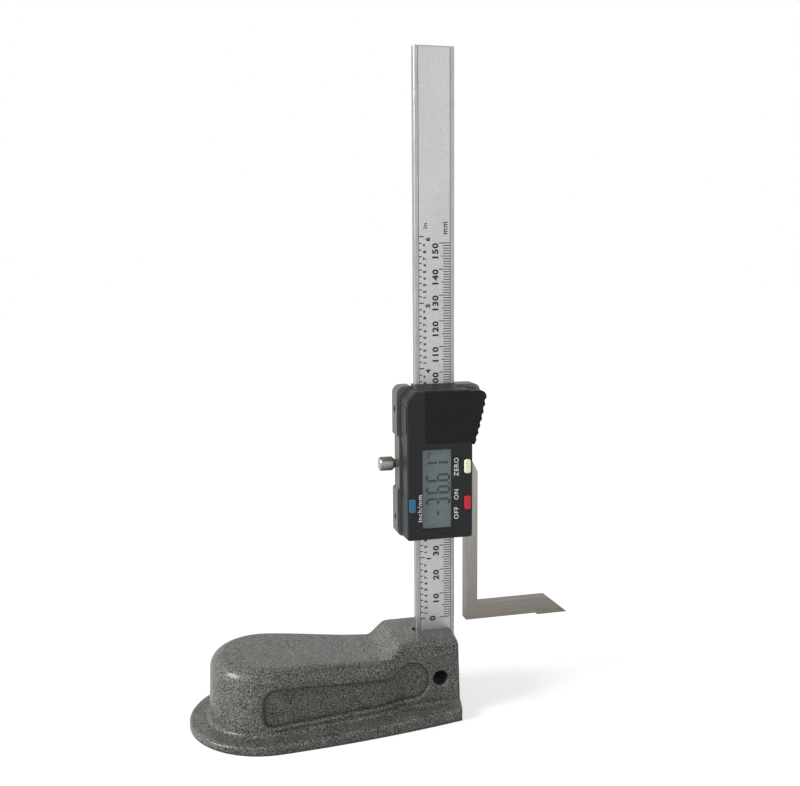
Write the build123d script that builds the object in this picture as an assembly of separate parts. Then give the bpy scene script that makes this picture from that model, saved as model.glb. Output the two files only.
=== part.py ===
from build123d import *
import math
import os

# Electronic height gauge, 150 mm range.  Millimetres, +Z up.
# Origin: on the surface plate, under the centre of the upright beam.
# +X runs along the base towards the scriber's tip, -Y is the side with the scale and display.

# ---- base casting: foot flange, hand grip and the column block that holds the beam ----
REAR_X = -68.0            # centre of the rounded rear end
END_X = 7.7               # front end face on the centre line
END_BOW_R = 90.0          # plan radius of the bowed front end
FOOT_REAR_R = 30.6        # foot flange, rear radius
FOOT_SIDE_LEAN = 1.8      # degrees, where the bowed sides leave the rear round
FOOT_FRONT_HALF = 22.3
FOOT_RIM_REAR_H = 2.9     # height of the flange at its rear rim
FOOT_RIM_FRONT_H = 4.9    # and at its front end
FOOT_RIM_ROUND = 1.3
WALL_FOOT_R = 1.5         # blend between the foot and the walls
WALL_BASE_Z = 1.6         # the walls start inside the foot
WALL_DATUM_Z = 5.0        # height at which the grip's widths are given
GRIP_REAR_R = 22.9
GRIP_SHOULDER_X = -28.0   # where the grip starts to narrow into the column block
GRIP_SHOULDER_HALF = 19.0
GRIP_NECK_X = -12.0
GRIP_NECK_HALF = 15.3
GRIP_DRAFT = 2.4          # degrees
GRIP_REAR_H = 28.4        # grip height at its rear end
GRIP_FRONT_H = 24.65      # and at the foot of the ramp
GRIP_TOP_PULL_REAR = 36.0  # handles of the curve along the grip's top
GRIP_TOP_PULL_FRONT = 18.0
GRIP_ROUND = 5.4
RAMP_FOOT_X = -24.5
RAMP_TOP_X = -18.4
BLOCK_H = 30.2            # top of the column block
BLOCK_HALF = 14.7         # half width of its drafted sides
BLOCK_HALF_Z = 30.2       # at this height
BLOCK_DRAFT = 2.4
BLOCK_ROUND = 2.0
BLOCK_SET_BACK = 0.2      # the block's end face stands behind the foot's
BLOCK_END_DRAFT = 1.4
RAMP_FOOT_R = 4.0
RAMP_BLEND_R = 4.5
COLUMN_TAIL = 5.0         # the block runs this far under the grip's top
COLUMN_SINK = 0.03
RELIEF_DEPTH = 1.0        # ground relief under the foot
RELIEF_RIM = 7.0
RELIEF_FRONT_X = -16.0

# ---- recessed finger panel on each side of the base ----
PANEL_DEPTH = 1.5
PANEL_REAR_X = -72.0
PANEL_LOW_Z = 6.6
PANEL_REAR_TOP_Z = 20.4
PANEL_WAIST_X = -27.0     # where the panel's top edge turns up along the ramp
PANEL_WAIST_TOP_Z = 16.9
PANEL_EYE_X = -13.4       # round front end of the panel
PANEL_EYE_Z = 15.0
PANEL_EYE_R = 7.0
PANEL_CORNER_R = 5.0
PANEL_RIM_ROUND = 1.0     # rounded lip of the panel

# ---- beam, its scale and the clamp ----
BEAM_W = 16.0
BEAM_T = 3.5
BEAM_TOP = 258.0
BEAM_FOOT = 4.0           # the beam's lower end inside the base
BEAM_EDGE = 0.3
SLOT_GAP = 0.03           # beam to slot wall, each side
SLOT_RUNOUT = 1.2         # the cutter's run-out behind the beam
CUTTER_REACH = 20.0       # cutters reach this far beyond the solids they open
SCALE_W = 12.8            # groove for the scale
SCALE_GAP = 0.2           # groove wall to scale, each side
SCALE_BOTTOM = 28.0
SCALE_TOP = 257.6
GROOVE_DEPTH = 0.95
STRIP_T = 0.8             # glass-fibre encoder strip
LABEL_T = 0.1             # printed scale over it
CLAMP_X = -1.8
CLAMP_Z = 15.1
CLAMP_R = 3.0
CLAMP_L = 6.0
CLAMP_BORE_GAP = 0.02
CLAMP_MOUTH = 0.4
CLAMP_SOCKET_R = 1.7
CLAMP_SOCKET_DEPTH = 3.0

# ---- slider frame ----
HEAD_BOTTOM = 71.0        # lower front edge of the head with the gauge as modelled
FRAME_LEFT = -15.8
FRAME_RIGHT = 12.8
FRAME_TOP = 130.2
FRAME_DROP = 0.5          # the frame reaches this far below the housing
FRAME_FRONT = -3.0
FRAME_BACK = 4.5
FRAME_WAIST = 0.9         # shallow relief beside the lock screw
FRAME_WAIST_LOW = 89.0
FRAME_WAIST_HIGH = 111.0
FRAME_EAR_RIGHT = 18.2    # thumb ear behind the battery cover
FRAME_EAR_BOTTOM = 109.0
FRAME_EAR_TOP = 121.0
FRAME_CORNERS = (2.2, 0.0, 0.0, 0.0, 0.0, 3.2, 2.8, 3.0, 3.0, 1.5)
FRAME_MOUTH_W = 1.9       # bevel beside the beam at both ends of the slot
FRAME_MOUTH_H = 1.0
SLIDE_GAP = 0.05
GIB_T = 1.5
GIB_GAP = 0.05
LIP_HALF = 6.6            # half width of the sensor window in the frame's front
WINDOW_END = 4.0          # frame left closed at each end of the window

# ---- gib, lock screw, scriber ----
GIB_SCREW_Z = (77.7, 120.9)
GIB_SCREW_R = 1.25
SIDE_AXIS_Y = 0.5         # gib screws' height in the frame's thickness
LOCK_Z = 99.2
LOCK_Y = 0.75
LOCK_SHANK_R = 1.5
LOCK_KNOB_R = 2.8
LOCK_KNOB_L = 5.0
LOCK_NECK_L = 0.8
LOCK_TAPER_L = 1.4
LOCK_KNURLS = 24
LOCK_KNURL_R = 0.2
LOCK_GAP = 0.05
BAR_W = 4.8               # scriber bar, across X
BAR_T = 5.0               # and across Y
BAR_TOP = 98.6
BAR_TOP_CHAMFER_X = 2.1
BAR_TOP_CHAMFER_Z = 4.2
ARM_BOTTOM = 32.9
ARM_H = 6.4
NOSE_START_X = 48.3
NOSE_END_X = 57.0
CARBIDE_X = 43.8
CARBIDE_BOTTOM = 32.15
CARBIDE_TOP = 34.5
BAR_SCREW_Z = (78.5, 91.5)
BAR_SCREW_R = 1.5
BAR_SCREW_HEAD_R = 2.3
BAR_SCREW_END_X = 8.8

# ---- display housing ----
COVER_LEFT = -14.25       # front face
COVER_RIGHT = 11.95
COVER_TOP = 129.0
COVER_FRONT = -13.0
COVER_DRAFT = 0.2         # each side stands out this much more at the back
COVER_WAIST_DEPTH = 0.6   # finger relief in the left side, by the lock screw
COVER_WAIST_LOW = 86.5
COVER_WAIST_HIGH = 108.0
COVER_WAIST_RAMP = 2.0
COVER_WAIST_FRONT = -11.8  # where the relief runs out towards the front
COVER_WALL = 1.05
COVER_FACE_T = 1.2
COVER_CHAMFER = 3.0       # upper left corner
COVER_CORNER = 0.9
COVER_CHAMFER_R = 1.2
COVER_EDGE = 0.5
HOOD_LEFT = -9.6          # hood of the housing over the frame's front, against the beam
HOOD_RIGHT = 7.7
HOOD_TOP = 130.6
HOOD_SLANT = 1.3          # its upper left corner
HOOD_START_Y = -11.0
HOOD_GAP = 0.05
LCD_X = -2.25
LCD_Z = 90.8
LCD_W = 12.2
LCD_H = 31.6
WINDOW_T = 0.8
WINDOW_GAP = 0.05
LCD_LEDGE = 0.3
LCD_BORDER = 1.0
LCD_T = 1.8
LCD_POCKET_GAP = 0.1
RUBBER_W = 1.6
RUBBER_INSET = 1.2
BOARD_T = 1.0
BOARD_GAP = 0.25
BOARD_WING_HALF = 12.0    # the board's wing behind the two right keys
SENSOR_GAP = 0.25         # reading board to printed scale
SENSOR_INSET = 0.4
KEY_W = 2.5
KEY_H = 5.4
KEY_CORNER = 0.7
KEY_PROUD = 0.7
KEY_GAP = 0.1
KEY_FLANGE_T = 0.8
KEY_FLANGE_W = 1.7
KEY_FLANGE_H = 7.0
KEY_FLANGE_GAP = 0.15
KEY_STEM_R = 0.8
KEY_TRAVEL = 0.5
KEYS = {
    "inch_mm_button": (-12.35, 84.9),
    "on_off_button": (9.8, 84.9),
    "zero_button": (9.8, 99.3),
}
DOME_R = 0.8
DOME_H = 0.6
DOME_GAP = 0.1            # stem to dome with the key fully down

# ---- battery, its cover, the data port and the housing screws ----
BAY_BOTTOM = 108.9        # seam under the battery cover
BAY_LEFT = -6.9           # seam beside it
DOOR_T = 1.1
DOOR_GAP = 0.1
DOOR_TOP = 128.7
DOOR_INNER_X = 11.0       # housing side under the battery cover's grip
DOOR_TONGUE = 0.9
DOOR_TONGUE_T = 0.45
THUMB_FOOT_X = 13.4       # scalloped thumb grip: foot, middle and tip of its bowed side
THUMB_FOOT_Z = 109.2
THUMB_MID_X = 15.7
THUMB_MID_Z = 117.5
THUMB_TIP_X = 17.5
THUMB_TIP_Z = 126.0
THUMB_CROWN_X = 15.4
THUMB_LIP_DROP = 1.2      # its foot hangs below the seam, outside the housing
THUMB_LIP_W = 0.9
THUMB_WALL = 1.6
SCALLOPS = 6
SCALLOP_R = 1.5
SCALLOP_DEPTH = 0.45
CELL_X = 2.3
CELL_Z = 118.9
CELL_R = 5.8
CELL_T = 5.4
CELL_GAP = 0.2
BAY_BACK = -5.0           # rear of the battery bay's block
CONTACT_T = 0.25
CONTACT_W = 2.2
PORT_BOTTOM = 112.9
PORT_TOP = 123.4
PORT_DEPTH = 5.2          # along X into the housing
PORT_FRONT = -12.3
PORT_BACK = -5.4
PORT_PROUD = 0.1
COVER_SCREWS = ((-12.3, 73.7), (10.0, 73.7), (-11.3, 125.6), (9.6, 126.6))
COVER_SCREW_R = 0.9
COVER_SCREW_HEAD_R = 1.9
COVER_SCREW_TIP = -7.6
BOSS_R = 1.9

FRAME_BOTTOM = HEAD_BOTTOM - FRAME_DROP
FRAME_CAVITY_LEFT = -BEAM_W / 2 - SLIDE_GAP - GIB_T - GIB_GAP
BEAM_FACE = -BEAM_T / 2
GROOVE_FLOOR = BEAM_FACE + GROOVE_DEPTH
LABEL_FACE = GROOVE_FLOOR - STRIP_T - LABEL_T
BOARD_FRONT = FRAME_FRONT - BOARD_T
FACE_INSIDE = COVER_FRONT + COVER_FACE_T


def block(x0, x1, y0, y1, z0, z1):
    """Rectangular solid between two corners."""
    centre = Pos((x0 + x1) / 2, (y0 + y1) / 2, (z0 + z1) / 2)
    return centre * Box(x1 - x0, y1 - y0, z1 - z0)


def rod_y(x, z, r, y0, y1):
    """Cylinder along Y."""
    return Pos(x, (y0 + y1) / 2, z) * Rot(90, 0, 0) * Cylinder(r, y1 - y0)


def rod_x(y, z, r, x0, x1):
    """Cylinder along X."""
    return Pos((x0 + x1) / 2, y, z) * Rot(0, 90, 0) * Cylinder(r, x1 - x0)


def plate(outline, y0, y1):
    """Solid between two Y planes from a closed outline drawn in X and Z."""
    return extrude(Plane.XZ.offset(-y1) * make_face(outline), y1 - y0)


def corners(points, radii):
    """Closed outline through the points, each corner rounded by its own radius."""
    return FilletPolyline(*points, radius=radii, close=True)


def save(name, shape):
    """Write one sub-part as STEP."""
    export_step(shape, f"parts/{name}.step")


# ------------------------------------------------------------------ base casting
def end_drop(half):
    """How far the bowed front end has fallen back at this half width."""
    return END_BOW_R - math.sqrt(END_BOW_R**2 - half**2)


def foot_outline(inset=0.0):
    """Plan of the foot: round rear, bowed sides, bowed front end."""
    r = FOOT_REAR_R - inset
    half = FOOT_FRONT_HALF - inset
    nose_x = END_X - end_drop(half)
    lean = math.radians(FOOT_SIDE_LEAN)
    rear_x, rear_y = REAR_X + r * math.sin(lean), r * math.cos(lean)
    along = (math.cos(lean), -math.sin(lean))
    edges = ThreePointArc((rear_x, -rear_y), (REAR_X - r, 0), (rear_x, rear_y))
    edges += TangentArc((rear_x, rear_y), (nose_x, half), tangent=along)
    edges += ThreePointArc((nose_x, half), (END_X, 0), (nose_x, -half))
    edges += TangentArc((rear_x, -rear_y), (nose_x, -half), tangent=(along[0], -along[1]))
    return make_face(edges)


def grip_side(rear_x, rear_y, shoulder, neck, nose_x, side):
    """One long side of the grip: straight taper, S bend at the column, straight nose."""
    start = (rear_x, side * rear_y)
    turn = (GRIP_SHOULDER_X, side * shoulder)
    rest = (GRIP_NECK_X, side * neck)
    slope = (shoulder - rear_y) / (GRIP_SHOULDER_X - rear_x)
    reach = (GRIP_NECK_X - GRIP_SHOULDER_X) * 0.45
    out = (GRIP_SHOULDER_X + reach, side * (shoulder + slope * reach))
    into = (GRIP_NECK_X - reach, side * neck)
    edges = Line(start, turn)
    edges += Bezier(turn, out, into, rest)
    edges += Line(rest, (nose_x, side * neck))
    return edges


def grip_outline(inset):
    """Plan of the grip at one height; the draft is given as an inset."""
    r = GRIP_REAR_R - inset
    shoulder = GRIP_SHOULDER_HALF - inset
    neck = GRIP_NECK_HALF - inset
    nose_x = END_X - 1.0 - end_drop(neck)
    run = GRIP_SHOULDER_X - REAR_X
    lean = math.atan2(run, shoulder) - math.acos(r / math.hypot(run, shoulder))
    rear_x, rear_y = REAR_X + r * math.sin(lean), r * math.cos(lean)
    edges = ThreePointArc((rear_x, -rear_y), (REAR_X - r, 0), (rear_x, rear_y))
    edges += grip_side(rear_x, rear_y, shoulder, neck, nose_x, 1)
    edges += Line((nose_x, neck), (nose_x, -neck))
    edges += grip_side(rear_x, rear_y, shoulder, neck, nose_x, -1)
    return make_face(edges)


def grip_body(inset=0.0):
    """Drafted grip, cut to its sloping top."""
    low, high = WALL_BASE_Z, BLOCK_H + 2.0
    draft = math.tan(math.radians(GRIP_DRAFT))
    bottom_inset = inset - (WALL_DATUM_Z - low) * draft
    top_inset = inset + (high - WALL_DATUM_Z) * draft
    body = loft([Pos(0, 0, low) * grip_outline(bottom_inset), Pos(0, 0, high) * grip_outline(top_inset)])
    tail_x = REAR_X - GRIP_REAR_R
    rear_z, front_z = GRIP_REAR_H - inset, GRIP_FRONT_H - inset
    side = Bezier(
        (tail_x, rear_z),
        (tail_x + GRIP_TOP_PULL_REAR, rear_z),
        (RAMP_FOOT_X - GRIP_TOP_PULL_FRONT, front_z),
        (RAMP_FOOT_X, front_z),
    )
    beyond = END_X + 10
    side += Polyline((RAMP_FOOT_X, front_z), (beyond, front_z), (beyond, 0), (tail_x - 10, 0))
    side += Polyline((tail_x - 10, 0), (tail_x - 10, rear_z), (tail_x, rear_z))
    return body & plate(side, -2 * GRIP_REAR_R, 2 * GRIP_REAR_R)


def column_outline(z, inset=0.0):
    """Plan of the column block at one height."""
    draft = math.tan(math.radians(BLOCK_DRAFT))
    half = BLOCK_HALF + (BLOCK_HALF_Z - z) * draft - inset
    end_x = END_X - BLOCK_SET_BACK - z * math.tan(math.radians(BLOCK_END_DRAFT))
    nose_x = end_x - end_drop(half)
    rear_x = RAMP_FOOT_X - COLUMN_TAIL
    edges = Polyline((nose_x, half), (rear_x, half), (rear_x, -half), (nose_x, -half))
    edges += ThreePointArc((nose_x, -half), (end_x, 0), (nose_x, half))
    return make_face(edges)


def column_solid(inset=0.0):
    """Drafted block round the beam before its top is shaped."""
    low, high = WALL_BASE_Z, BLOCK_H + 2.0
    bottom = Pos(0, 0, low) * column_outline(low, inset)
    top = Pos(0, 0, high) * column_outline(high, inset)
    return loft([bottom, top])


def column_block():
    """Column block with the ramp that runs down into the grip's top."""
    tail_x = RAMP_FOOT_X - COLUMN_TAIL
    side = corners(
        [
            (tail_x, 0),
            (tail_x, GRIP_FRONT_H - COLUMN_SINK),
            (RAMP_FOOT_X, GRIP_FRONT_H - COLUMN_SINK),
            (RAMP_TOP_X, BLOCK_H),
            (END_X + 10, BLOCK_H),
            (END_X + 10, 0),
        ],
        [0, 0, RAMP_FOOT_R, RAMP_BLEND_R, 0, 0],
    )
    return column_solid() & plate(side, -2 * BLOCK_HALF, 2 * BLOCK_HALF)


def panel_outline():
    """Outline of the finger panel: long body with a round eye at the column."""
    eye_top = PANEL_EYE_Z + PANEL_EYE_R
    eye_low = PANEL_EYE_Z - PANEL_EYE_R
    knee = (PANEL_WAIST_X + 4.0, PANEL_WAIST_TOP_Z + 0.6)
    rise = (PANEL_EYE_X - PANEL_EYE_R * 0.5, eye_top - PANEL_EYE_R * 0.134)
    body = corners(
        [
            (PANEL_REAR_X, PANEL_LOW_Z),
            (PANEL_REAR_X, PANEL_REAR_TOP_Z + 0.6),
            knee,
            rise,
            (PANEL_EYE_X, PANEL_EYE_Z),
            (PANEL_EYE_X, eye_low),
        ],
        [PANEL_CORNER_R * 0.6, PANEL_CORNER_R, 3.0, 0, 0, 0],
    )
    return body


def finger_panels():
    """Cutters for both panels, as deep as PANEL_DEPTH below the drafted sides."""
    outside = max(GRIP_REAR_R, BLOCK_HALF) + 6
    core = grip_body(PANEL_DEPTH) + column_solid(PANEL_DEPTH)
    cutters = []
    for y0, y1 in ((-outside, -1.0), (1.0, outside)):
        tool = plate(panel_outline(), y0, y1)
        tool += rod_y(PANEL_EYE_X, PANEL_EYE_Z, PANEL_EYE_R, y0, y1)
        cutters.append(tool - core)
    return cutters


def rim_slope():
    """Rise of the foot's top per millimetre towards the front."""
    return (FOOT_RIM_FRONT_H - FOOT_RIM_REAR_H) / (END_X - REAR_X + FOOT_REAR_R)


def foot_plate():
    """Foot flange whose rim grows towards the front, with a rounded top edge."""
    rear_x = REAR_X - FOOT_REAR_R
    side = Polyline(
        (rear_x - 1, 0),
        (rear_x - 1, FOOT_RIM_REAR_H - rim_slope()),
        (END_X + 1, FOOT_RIM_FRONT_H + rim_slope()),
        (END_X + 1, 0),
        close=True,
    )
    foot = extrude(foot_outline(), 2 * FOOT_RIM_FRONT_H) & plate(side, -2 * FOOT_REAR_R, 2 * FOOT_REAR_R)
    top = foot.faces().sort_by(Axis.Z)[-1]
    rim = top.edges().filter_by(lambda e: abs(e.center().Y) > 1 or e.center().X < 0)
    return fillet(rim, FOOT_RIM_ROUND)


def blend_wall_foot(casting, foot_top):
    """Round the corner where the walls stand on the foot, but not at the front end."""
    plane = Plane(foot_top)

    def at_wall(edge):
        points = [edge @ 0, edge @ 0.5, edge @ 1]
        on_top = all(abs((p - plane.origin).dot(plane.z_dir)) < 0.01 for p in points)
        inside = all(abs(p.Y) < GRIP_REAR_R + 0.5 for p in points)
        front = abs(points[1].Y) < BLOCK_HALF and points[1].X > 0
        rim = points[1].X > END_X - end_drop(BLOCK_HALF)
        rim = rim or points[1].X < REAR_X - GRIP_REAR_R - 0.5
        return on_top and inside and not front and not rim

    return fillet(casting.edges().filter_by(at_wall), WALL_FOOT_R)


def base_casting():
    """Foot, apron, grip and column block as one casting, then machined."""
    grip = grip_body()
    crown = grip.edges().filter_by(lambda e: e.center().Z > GRIP_FRONT_H - 3)
    crown = crown.filter_by(lambda e: e.center().X < END_X - 2)
    grip = fillet(crown, GRIP_ROUND)
    column = column_block()
    tail_x = RAMP_FOOT_X - COLUMN_TAIL
    crest = column.edges().filter_by(lambda e: e.center().Z > GRIP_FRONT_H - 0.5)
    crest = crest.filter_by(lambda e: e.center().X > tail_x + 0.1)
    crest = crest.filter_by(lambda e: abs(e.tangent_at(0.5).Y) < 0.9 or e.center().X > 0)
    column = fillet(crest, BLOCK_ROUND)
    foot = foot_plate()
    casting = blend_wall_foot(foot + grip + column, foot.faces().sort_by(Axis.Z)[-1])
    for cutter in finger_panels():
        before = casting
        casting = before - cutter
        casting = fillet(new_edges(before, cutter, combined=casting), PANEL_RIM_ROUND)
    slot_y = BEAM_T / 2 + SLOT_GAP
    slot = block(-BEAM_W / 2 - SLOT_RUNOUT, END_X + CUTTER_REACH, -slot_y, slot_y,
                 BEAM_FOOT, BLOCK_H + CUTTER_REACH)
    casting -= slot
    bore_r = CLAMP_R + CLAMP_BORE_GAP
    casting -= rod_y(CLAMP_X, CLAMP_Z, bore_r, -2 * BLOCK_HALF, -BEAM_T / 2)
    mouth_y = -(BLOCK_HALF + (BLOCK_HALF_Z - CLAMP_Z) * math.tan(math.radians(BLOCK_DRAFT)))
    mouth = Cone(bore_r, bore_r + 2 * CLAMP_MOUTH, 2 * CLAMP_MOUTH)
    casting -= Pos(CLAMP_X, mouth_y, CLAMP_Z) * Rot(90, 0, 0) * mouth
    relief = foot_outline(RELIEF_RIM) & Pos(RELIEF_FRONT_X - 100, 0) * Rectangle(200, 200)
    casting -= extrude(relief, RELIEF_DEPTH)
    return casting


def clamp_screw():
    """Socket set screw bearing on the beam's face."""
    body = rod_y(CLAMP_X, CLAMP_Z, CLAMP_R, BEAM_FACE - CLAMP_L, BEAM_FACE)
    socket = Pos(CLAMP_X, BEAM_FACE - CLAMP_L, CLAMP_Z) * Rot(-90, 0, 0) * extrude(
        RegularPolygon(CLAMP_SOCKET_R, 6), CLAMP_SOCKET_DEPTH)
    return body - socket


def beam():
    """Upright stainless beam with the shallow groove for the scale."""
    bar = block(-BEAM_W / 2, BEAM_W / 2, -BEAM_T / 2, BEAM_T / 2, BEAM_FOOT, BEAM_TOP)
    bar = chamfer(bar.edges().filter_by(Axis.Z), BEAM_EDGE)
    groove = block(-SCALE_W / 2, SCALE_W / 2, -BEAM_T, GROOVE_FLOOR, SCALE_BOTTOM, SCALE_TOP)
    return bar - groove


def encoder_strip():
    """Glass-fibre strip with the capacitive pattern, bedded in the groove."""
    half = SCALE_W / 2 - SCALE_GAP
    return block(-half, half, GROOVE_FLOOR - STRIP_T, GROOVE_FLOOR, SCALE_BOTTOM, SCALE_TOP)


def scale_label():
    """Printed foil over the encoder strip."""
    half = SCALE_W / 2 - SCALE_GAP
    return block(-half, half, LABEL_FACE, LABEL_FACE + LABEL_T, SCALE_BOTTOM, SCALE_TOP)


# ------------------------------------------------------------------ slider
def frame_outline():
    """Front view of the slider frame."""
    left_in = FRAME_LEFT + FRAME_WAIST
    return corners(
        [
            (FRAME_LEFT, FRAME_BOTTOM),
            (FRAME_LEFT, FRAME_WAIST_LOW),
            (left_in, FRAME_WAIST_LOW + FRAME_WAIST),
            (left_in, FRAME_WAIST_HIGH - FRAME_WAIST),
            (FRAME_LEFT, FRAME_WAIST_HIGH),
            (FRAME_LEFT, FRAME_TOP),
            (FRAME_EAR_RIGHT, FRAME_TOP),
            (FRAME_EAR_RIGHT, FRAME_EAR_TOP),
            (FRAME_RIGHT, FRAME_EAR_BOTTOM),
            (FRAME_RIGHT, FRAME_BOTTOM),
        ],
        FRAME_CORNERS,
    )


def slider_frame():
    """C-section frame that runs on the beam."""
    body = plate(frame_outline(), FRAME_FRONT, FRAME_BACK)
    half = BEAM_T / 2 + SLIDE_GAP
    span = (FRAME_BOTTOM - 5, FRAME_TOP + 5)
    body -= block(FRAME_CAVITY_LEFT, BEAM_W / 2 + SLIDE_GAP, -half, half, *span)
    window = (HEAD_BOTTOM + WINDOW_END, FRAME_TOP - WINDOW_END)
    body -= block(-LIP_HALF, LIP_HALF, FRAME_FRONT - 1, 0, *window)
    for end_z, inward in ((FRAME_TOP, -1), (FRAME_BOTTOM, 1)):
        slope = FRAME_MOUTH_H / FRAME_MOUTH_W
        reach = FRAME_MOUTH_W + 1
        bevel = Polyline(
            (FRAME_CAVITY_LEFT - FRAME_MOUTH_W + GIB_T, end_z),
            (FRAME_CAVITY_LEFT + GIB_T, end_z + inward * FRAME_MOUTH_H),
            (FRAME_CAVITY_LEFT + GIB_T, end_z - inward),
            (FRAME_CAVITY_LEFT - reach + GIB_T, end_z - inward * slope),
            close=True,
        )
        body -= plate(bevel, FRAME_FRONT - 1, FRAME_BACK + 1)
    for z in GIB_SCREW_Z:
        body -= rod_x(SIDE_AXIS_Y, z, GIB_SCREW_R, FRAME_LEFT - 1, FRAME_CAVITY_LEFT + 0.5)
    body -= rod_x(LOCK_Y, LOCK_Z, LOCK_SHANK_R + LOCK_GAP, FRAME_LEFT - 1, FRAME_CAVITY_LEFT + 0.5)
    for z in BAR_SCREW_Z:
        body -= rod_x(0, z, BAR_SCREW_R, BAR_SCREW_END_X - 0.2, FRAME_RIGHT + 1)
    notch_z = FRAME_TOP - WINDOW_END
    body -= block(HOOD_LEFT - HOOD_GAP, HOOD_RIGHT + HOOD_GAP,
                  FRAME_FRONT - 1, -half, notch_z, FRAME_TOP + 1)
    for x, z in COVER_SCREWS:
        body -= rod_y(x, z, COVER_SCREW_R, FRAME_FRONT - 1, FRAME_BACK + 1)
        body -= screw_head(x, z)
    return body


def screw_head(x, z):
    """Countersunk head of a housing screw, flush with the frame's back."""
    depth = COVER_SCREW_HEAD_R - COVER_SCREW_R
    cone = Cone(COVER_SCREW_R, COVER_SCREW_HEAD_R, depth)
    return Pos(x, FRAME_BACK - depth / 2, z) * Rot(-90, 0, 0) * cone


def gib_strip():
    """Bronze strip that takes up the slider's play."""
    left = FRAME_CAVITY_LEFT + GIB_GAP
    half = BEAM_T / 2 - 0.1
    return block(left, left + GIB_T, -half, half, HEAD_BOTTOM + 1.5, FRAME_TOP - 1.5)


def gib_screws():
    """Two slotted set screws behind the gib."""
    gib_face = FRAME_CAVITY_LEFT + GIB_GAP
    outer = FRAME_LEFT + 0.25
    screws = []
    for z in GIB_SCREW_Z:
        screw = rod_x(SIDE_AXIS_Y, z, GIB_SCREW_R, outer, gib_face)
        screw -= block(outer - 1, outer + 0.7, SIDE_AXIS_Y - 2, SIDE_AXIS_Y + 2, z - 0.2, z + 0.2)
        screws.append(screw)
    return Compound(children=screws)


def lock_screw():
    """Knurled thumb screw that clamps the slider through the gib."""
    gib_face = FRAME_CAVITY_LEFT + GIB_GAP
    shoulder = FRAME_LEFT + FRAME_WAIST - LOCK_GAP - LOCK_NECK_L
    knob_in = shoulder - LOCK_TAPER_L
    knob_out = knob_in - LOCK_KNOB_L
    profile = Polyline(
        (gib_face - LOCK_GAP, 0),
        (gib_face - LOCK_GAP, LOCK_SHANK_R),
        (shoulder, LOCK_SHANK_R),
        (knob_in, LOCK_KNOB_R),
        (knob_out + 0.4, LOCK_KNOB_R),
        (knob_out, LOCK_KNOB_R - 0.4),
        (knob_out, 0),
        close=True,
    )
    screw = revolve(make_face(profile), Axis.X)
    for i in range(LOCK_KNURLS):
        angle = 360 * i / LOCK_KNURLS
        groove = Pos((knob_in + knob_out) / 2, 0, LOCK_KNOB_R + LOCK_KNURL_R * 0.3)
        screw -= Rot(angle, 0, 0) * groove * Rot(0, 90, 0) * Box(
            LOCK_KNURL_R * 2, LOCK_KNURL_R * 2, LOCK_KNOB_L + 0.2)
    return Pos(0, LOCK_Y, LOCK_Z) * screw


# ------------------------------------------------------------------ scriber
def nose_x(z):
    """X of the sloping nose at a height."""
    run = (NOSE_END_X - NOSE_START_X) / (ARM_BOTTOM + ARM_H - CARBIDE_BOTTOM)
    return NOSE_START_X + (ARM_BOTTOM + ARM_H - z) * run


def scriber():
    """L-shaped bar: upright against the frame's side, arm along the base's direction."""
    left, right = FRAME_RIGHT, FRAME_RIGHT + BAR_W
    arm_top = ARM_BOTTOM + ARM_H
    outline = Polyline(
        (left, ARM_BOTTOM),
        (left, BAR_TOP),
        (right - BAR_TOP_CHAMFER_X, BAR_TOP),
        (right, BAR_TOP - BAR_TOP_CHAMFER_Z),
        (right, arm_top),
        (NOSE_START_X, arm_top),
        (nose_x(CARBIDE_TOP), CARBIDE_TOP),
        (CARBIDE_X, CARBIDE_TOP),
        (CARBIDE_X, ARM_BOTTOM),
        close=True,
    )
    bar = plate(outline, -BAR_T / 2, BAR_T / 2)
    for z in BAR_SCREW_Z:
        bar -= bar_screw(z)
    return bar


def bar_screw(z):
    """One countersunk scriber screw."""
    right = FRAME_RIGHT + BAR_W
    depth = BAR_SCREW_HEAD_R - BAR_SCREW_R
    shank = rod_x(0, z, BAR_SCREW_R, BAR_SCREW_END_X, right)
    head = Pos(right - depth / 2, 0, z) * Rot(0, 90, 0) * Cone(BAR_SCREW_R, BAR_SCREW_HEAD_R, depth)
    return shank + head


def scriber_screws():
    """Two countersunk screws with cross recesses."""
    right = FRAME_RIGHT + BAR_W
    screws = []
    for z in BAR_SCREW_Z:
        screw = bar_screw(z)
        screw -= block(right - 1.0, right + 1, -0.3, 0.3, z - 1.4, z + 1.4)
        screw -= block(right - 1.0, right + 1, -1.4, 1.4, z - 0.3, z + 0.3)
        screws.append(screw)
    return Compound(children=screws)


def carbide_tip():
    """Hard-metal blade brazed under the nose."""
    outline = Polyline(
        (CARBIDE_X, CARBIDE_BOTTOM),
        (CARBIDE_X, CARBIDE_TOP),
        (nose_x(CARBIDE_TOP), CARBIDE_TOP),
        (NOSE_END_X, CARBIDE_BOTTOM),
        close=True,
    )
    return plate(outline, -BAR_T / 2, BAR_T / 2)


# ------------------------------------------------------------------ display housing
def cover_outline(spread, radius):
    """Front view of the housing, widened by the draft."""
    left, right = COVER_LEFT - spread, COVER_RIGHT + spread
    low, high = HEAD_BOTTOM - spread, COVER_TOP + spread
    return corners(
        [
            (left, low),
            (left, high - COVER_CHAMFER),
            (left + COVER_CHAMFER, high),
            (right, high),
            (right, low),
        ],
        [radius, COVER_CHAMFER_R, COVER_CHAMFER_R, radius, radius],
    )


def cover_body(spread):
    """Drafted solid of the housing."""
    front = Plane.XZ.offset(-COVER_FRONT) * make_face(cover_outline(spread, COVER_CORNER))
    back = Plane.XZ.offset(-FRAME_FRONT) * make_face(cover_outline(spread + COVER_DRAFT, COVER_CORNER))
    return loft([front, back])


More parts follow.
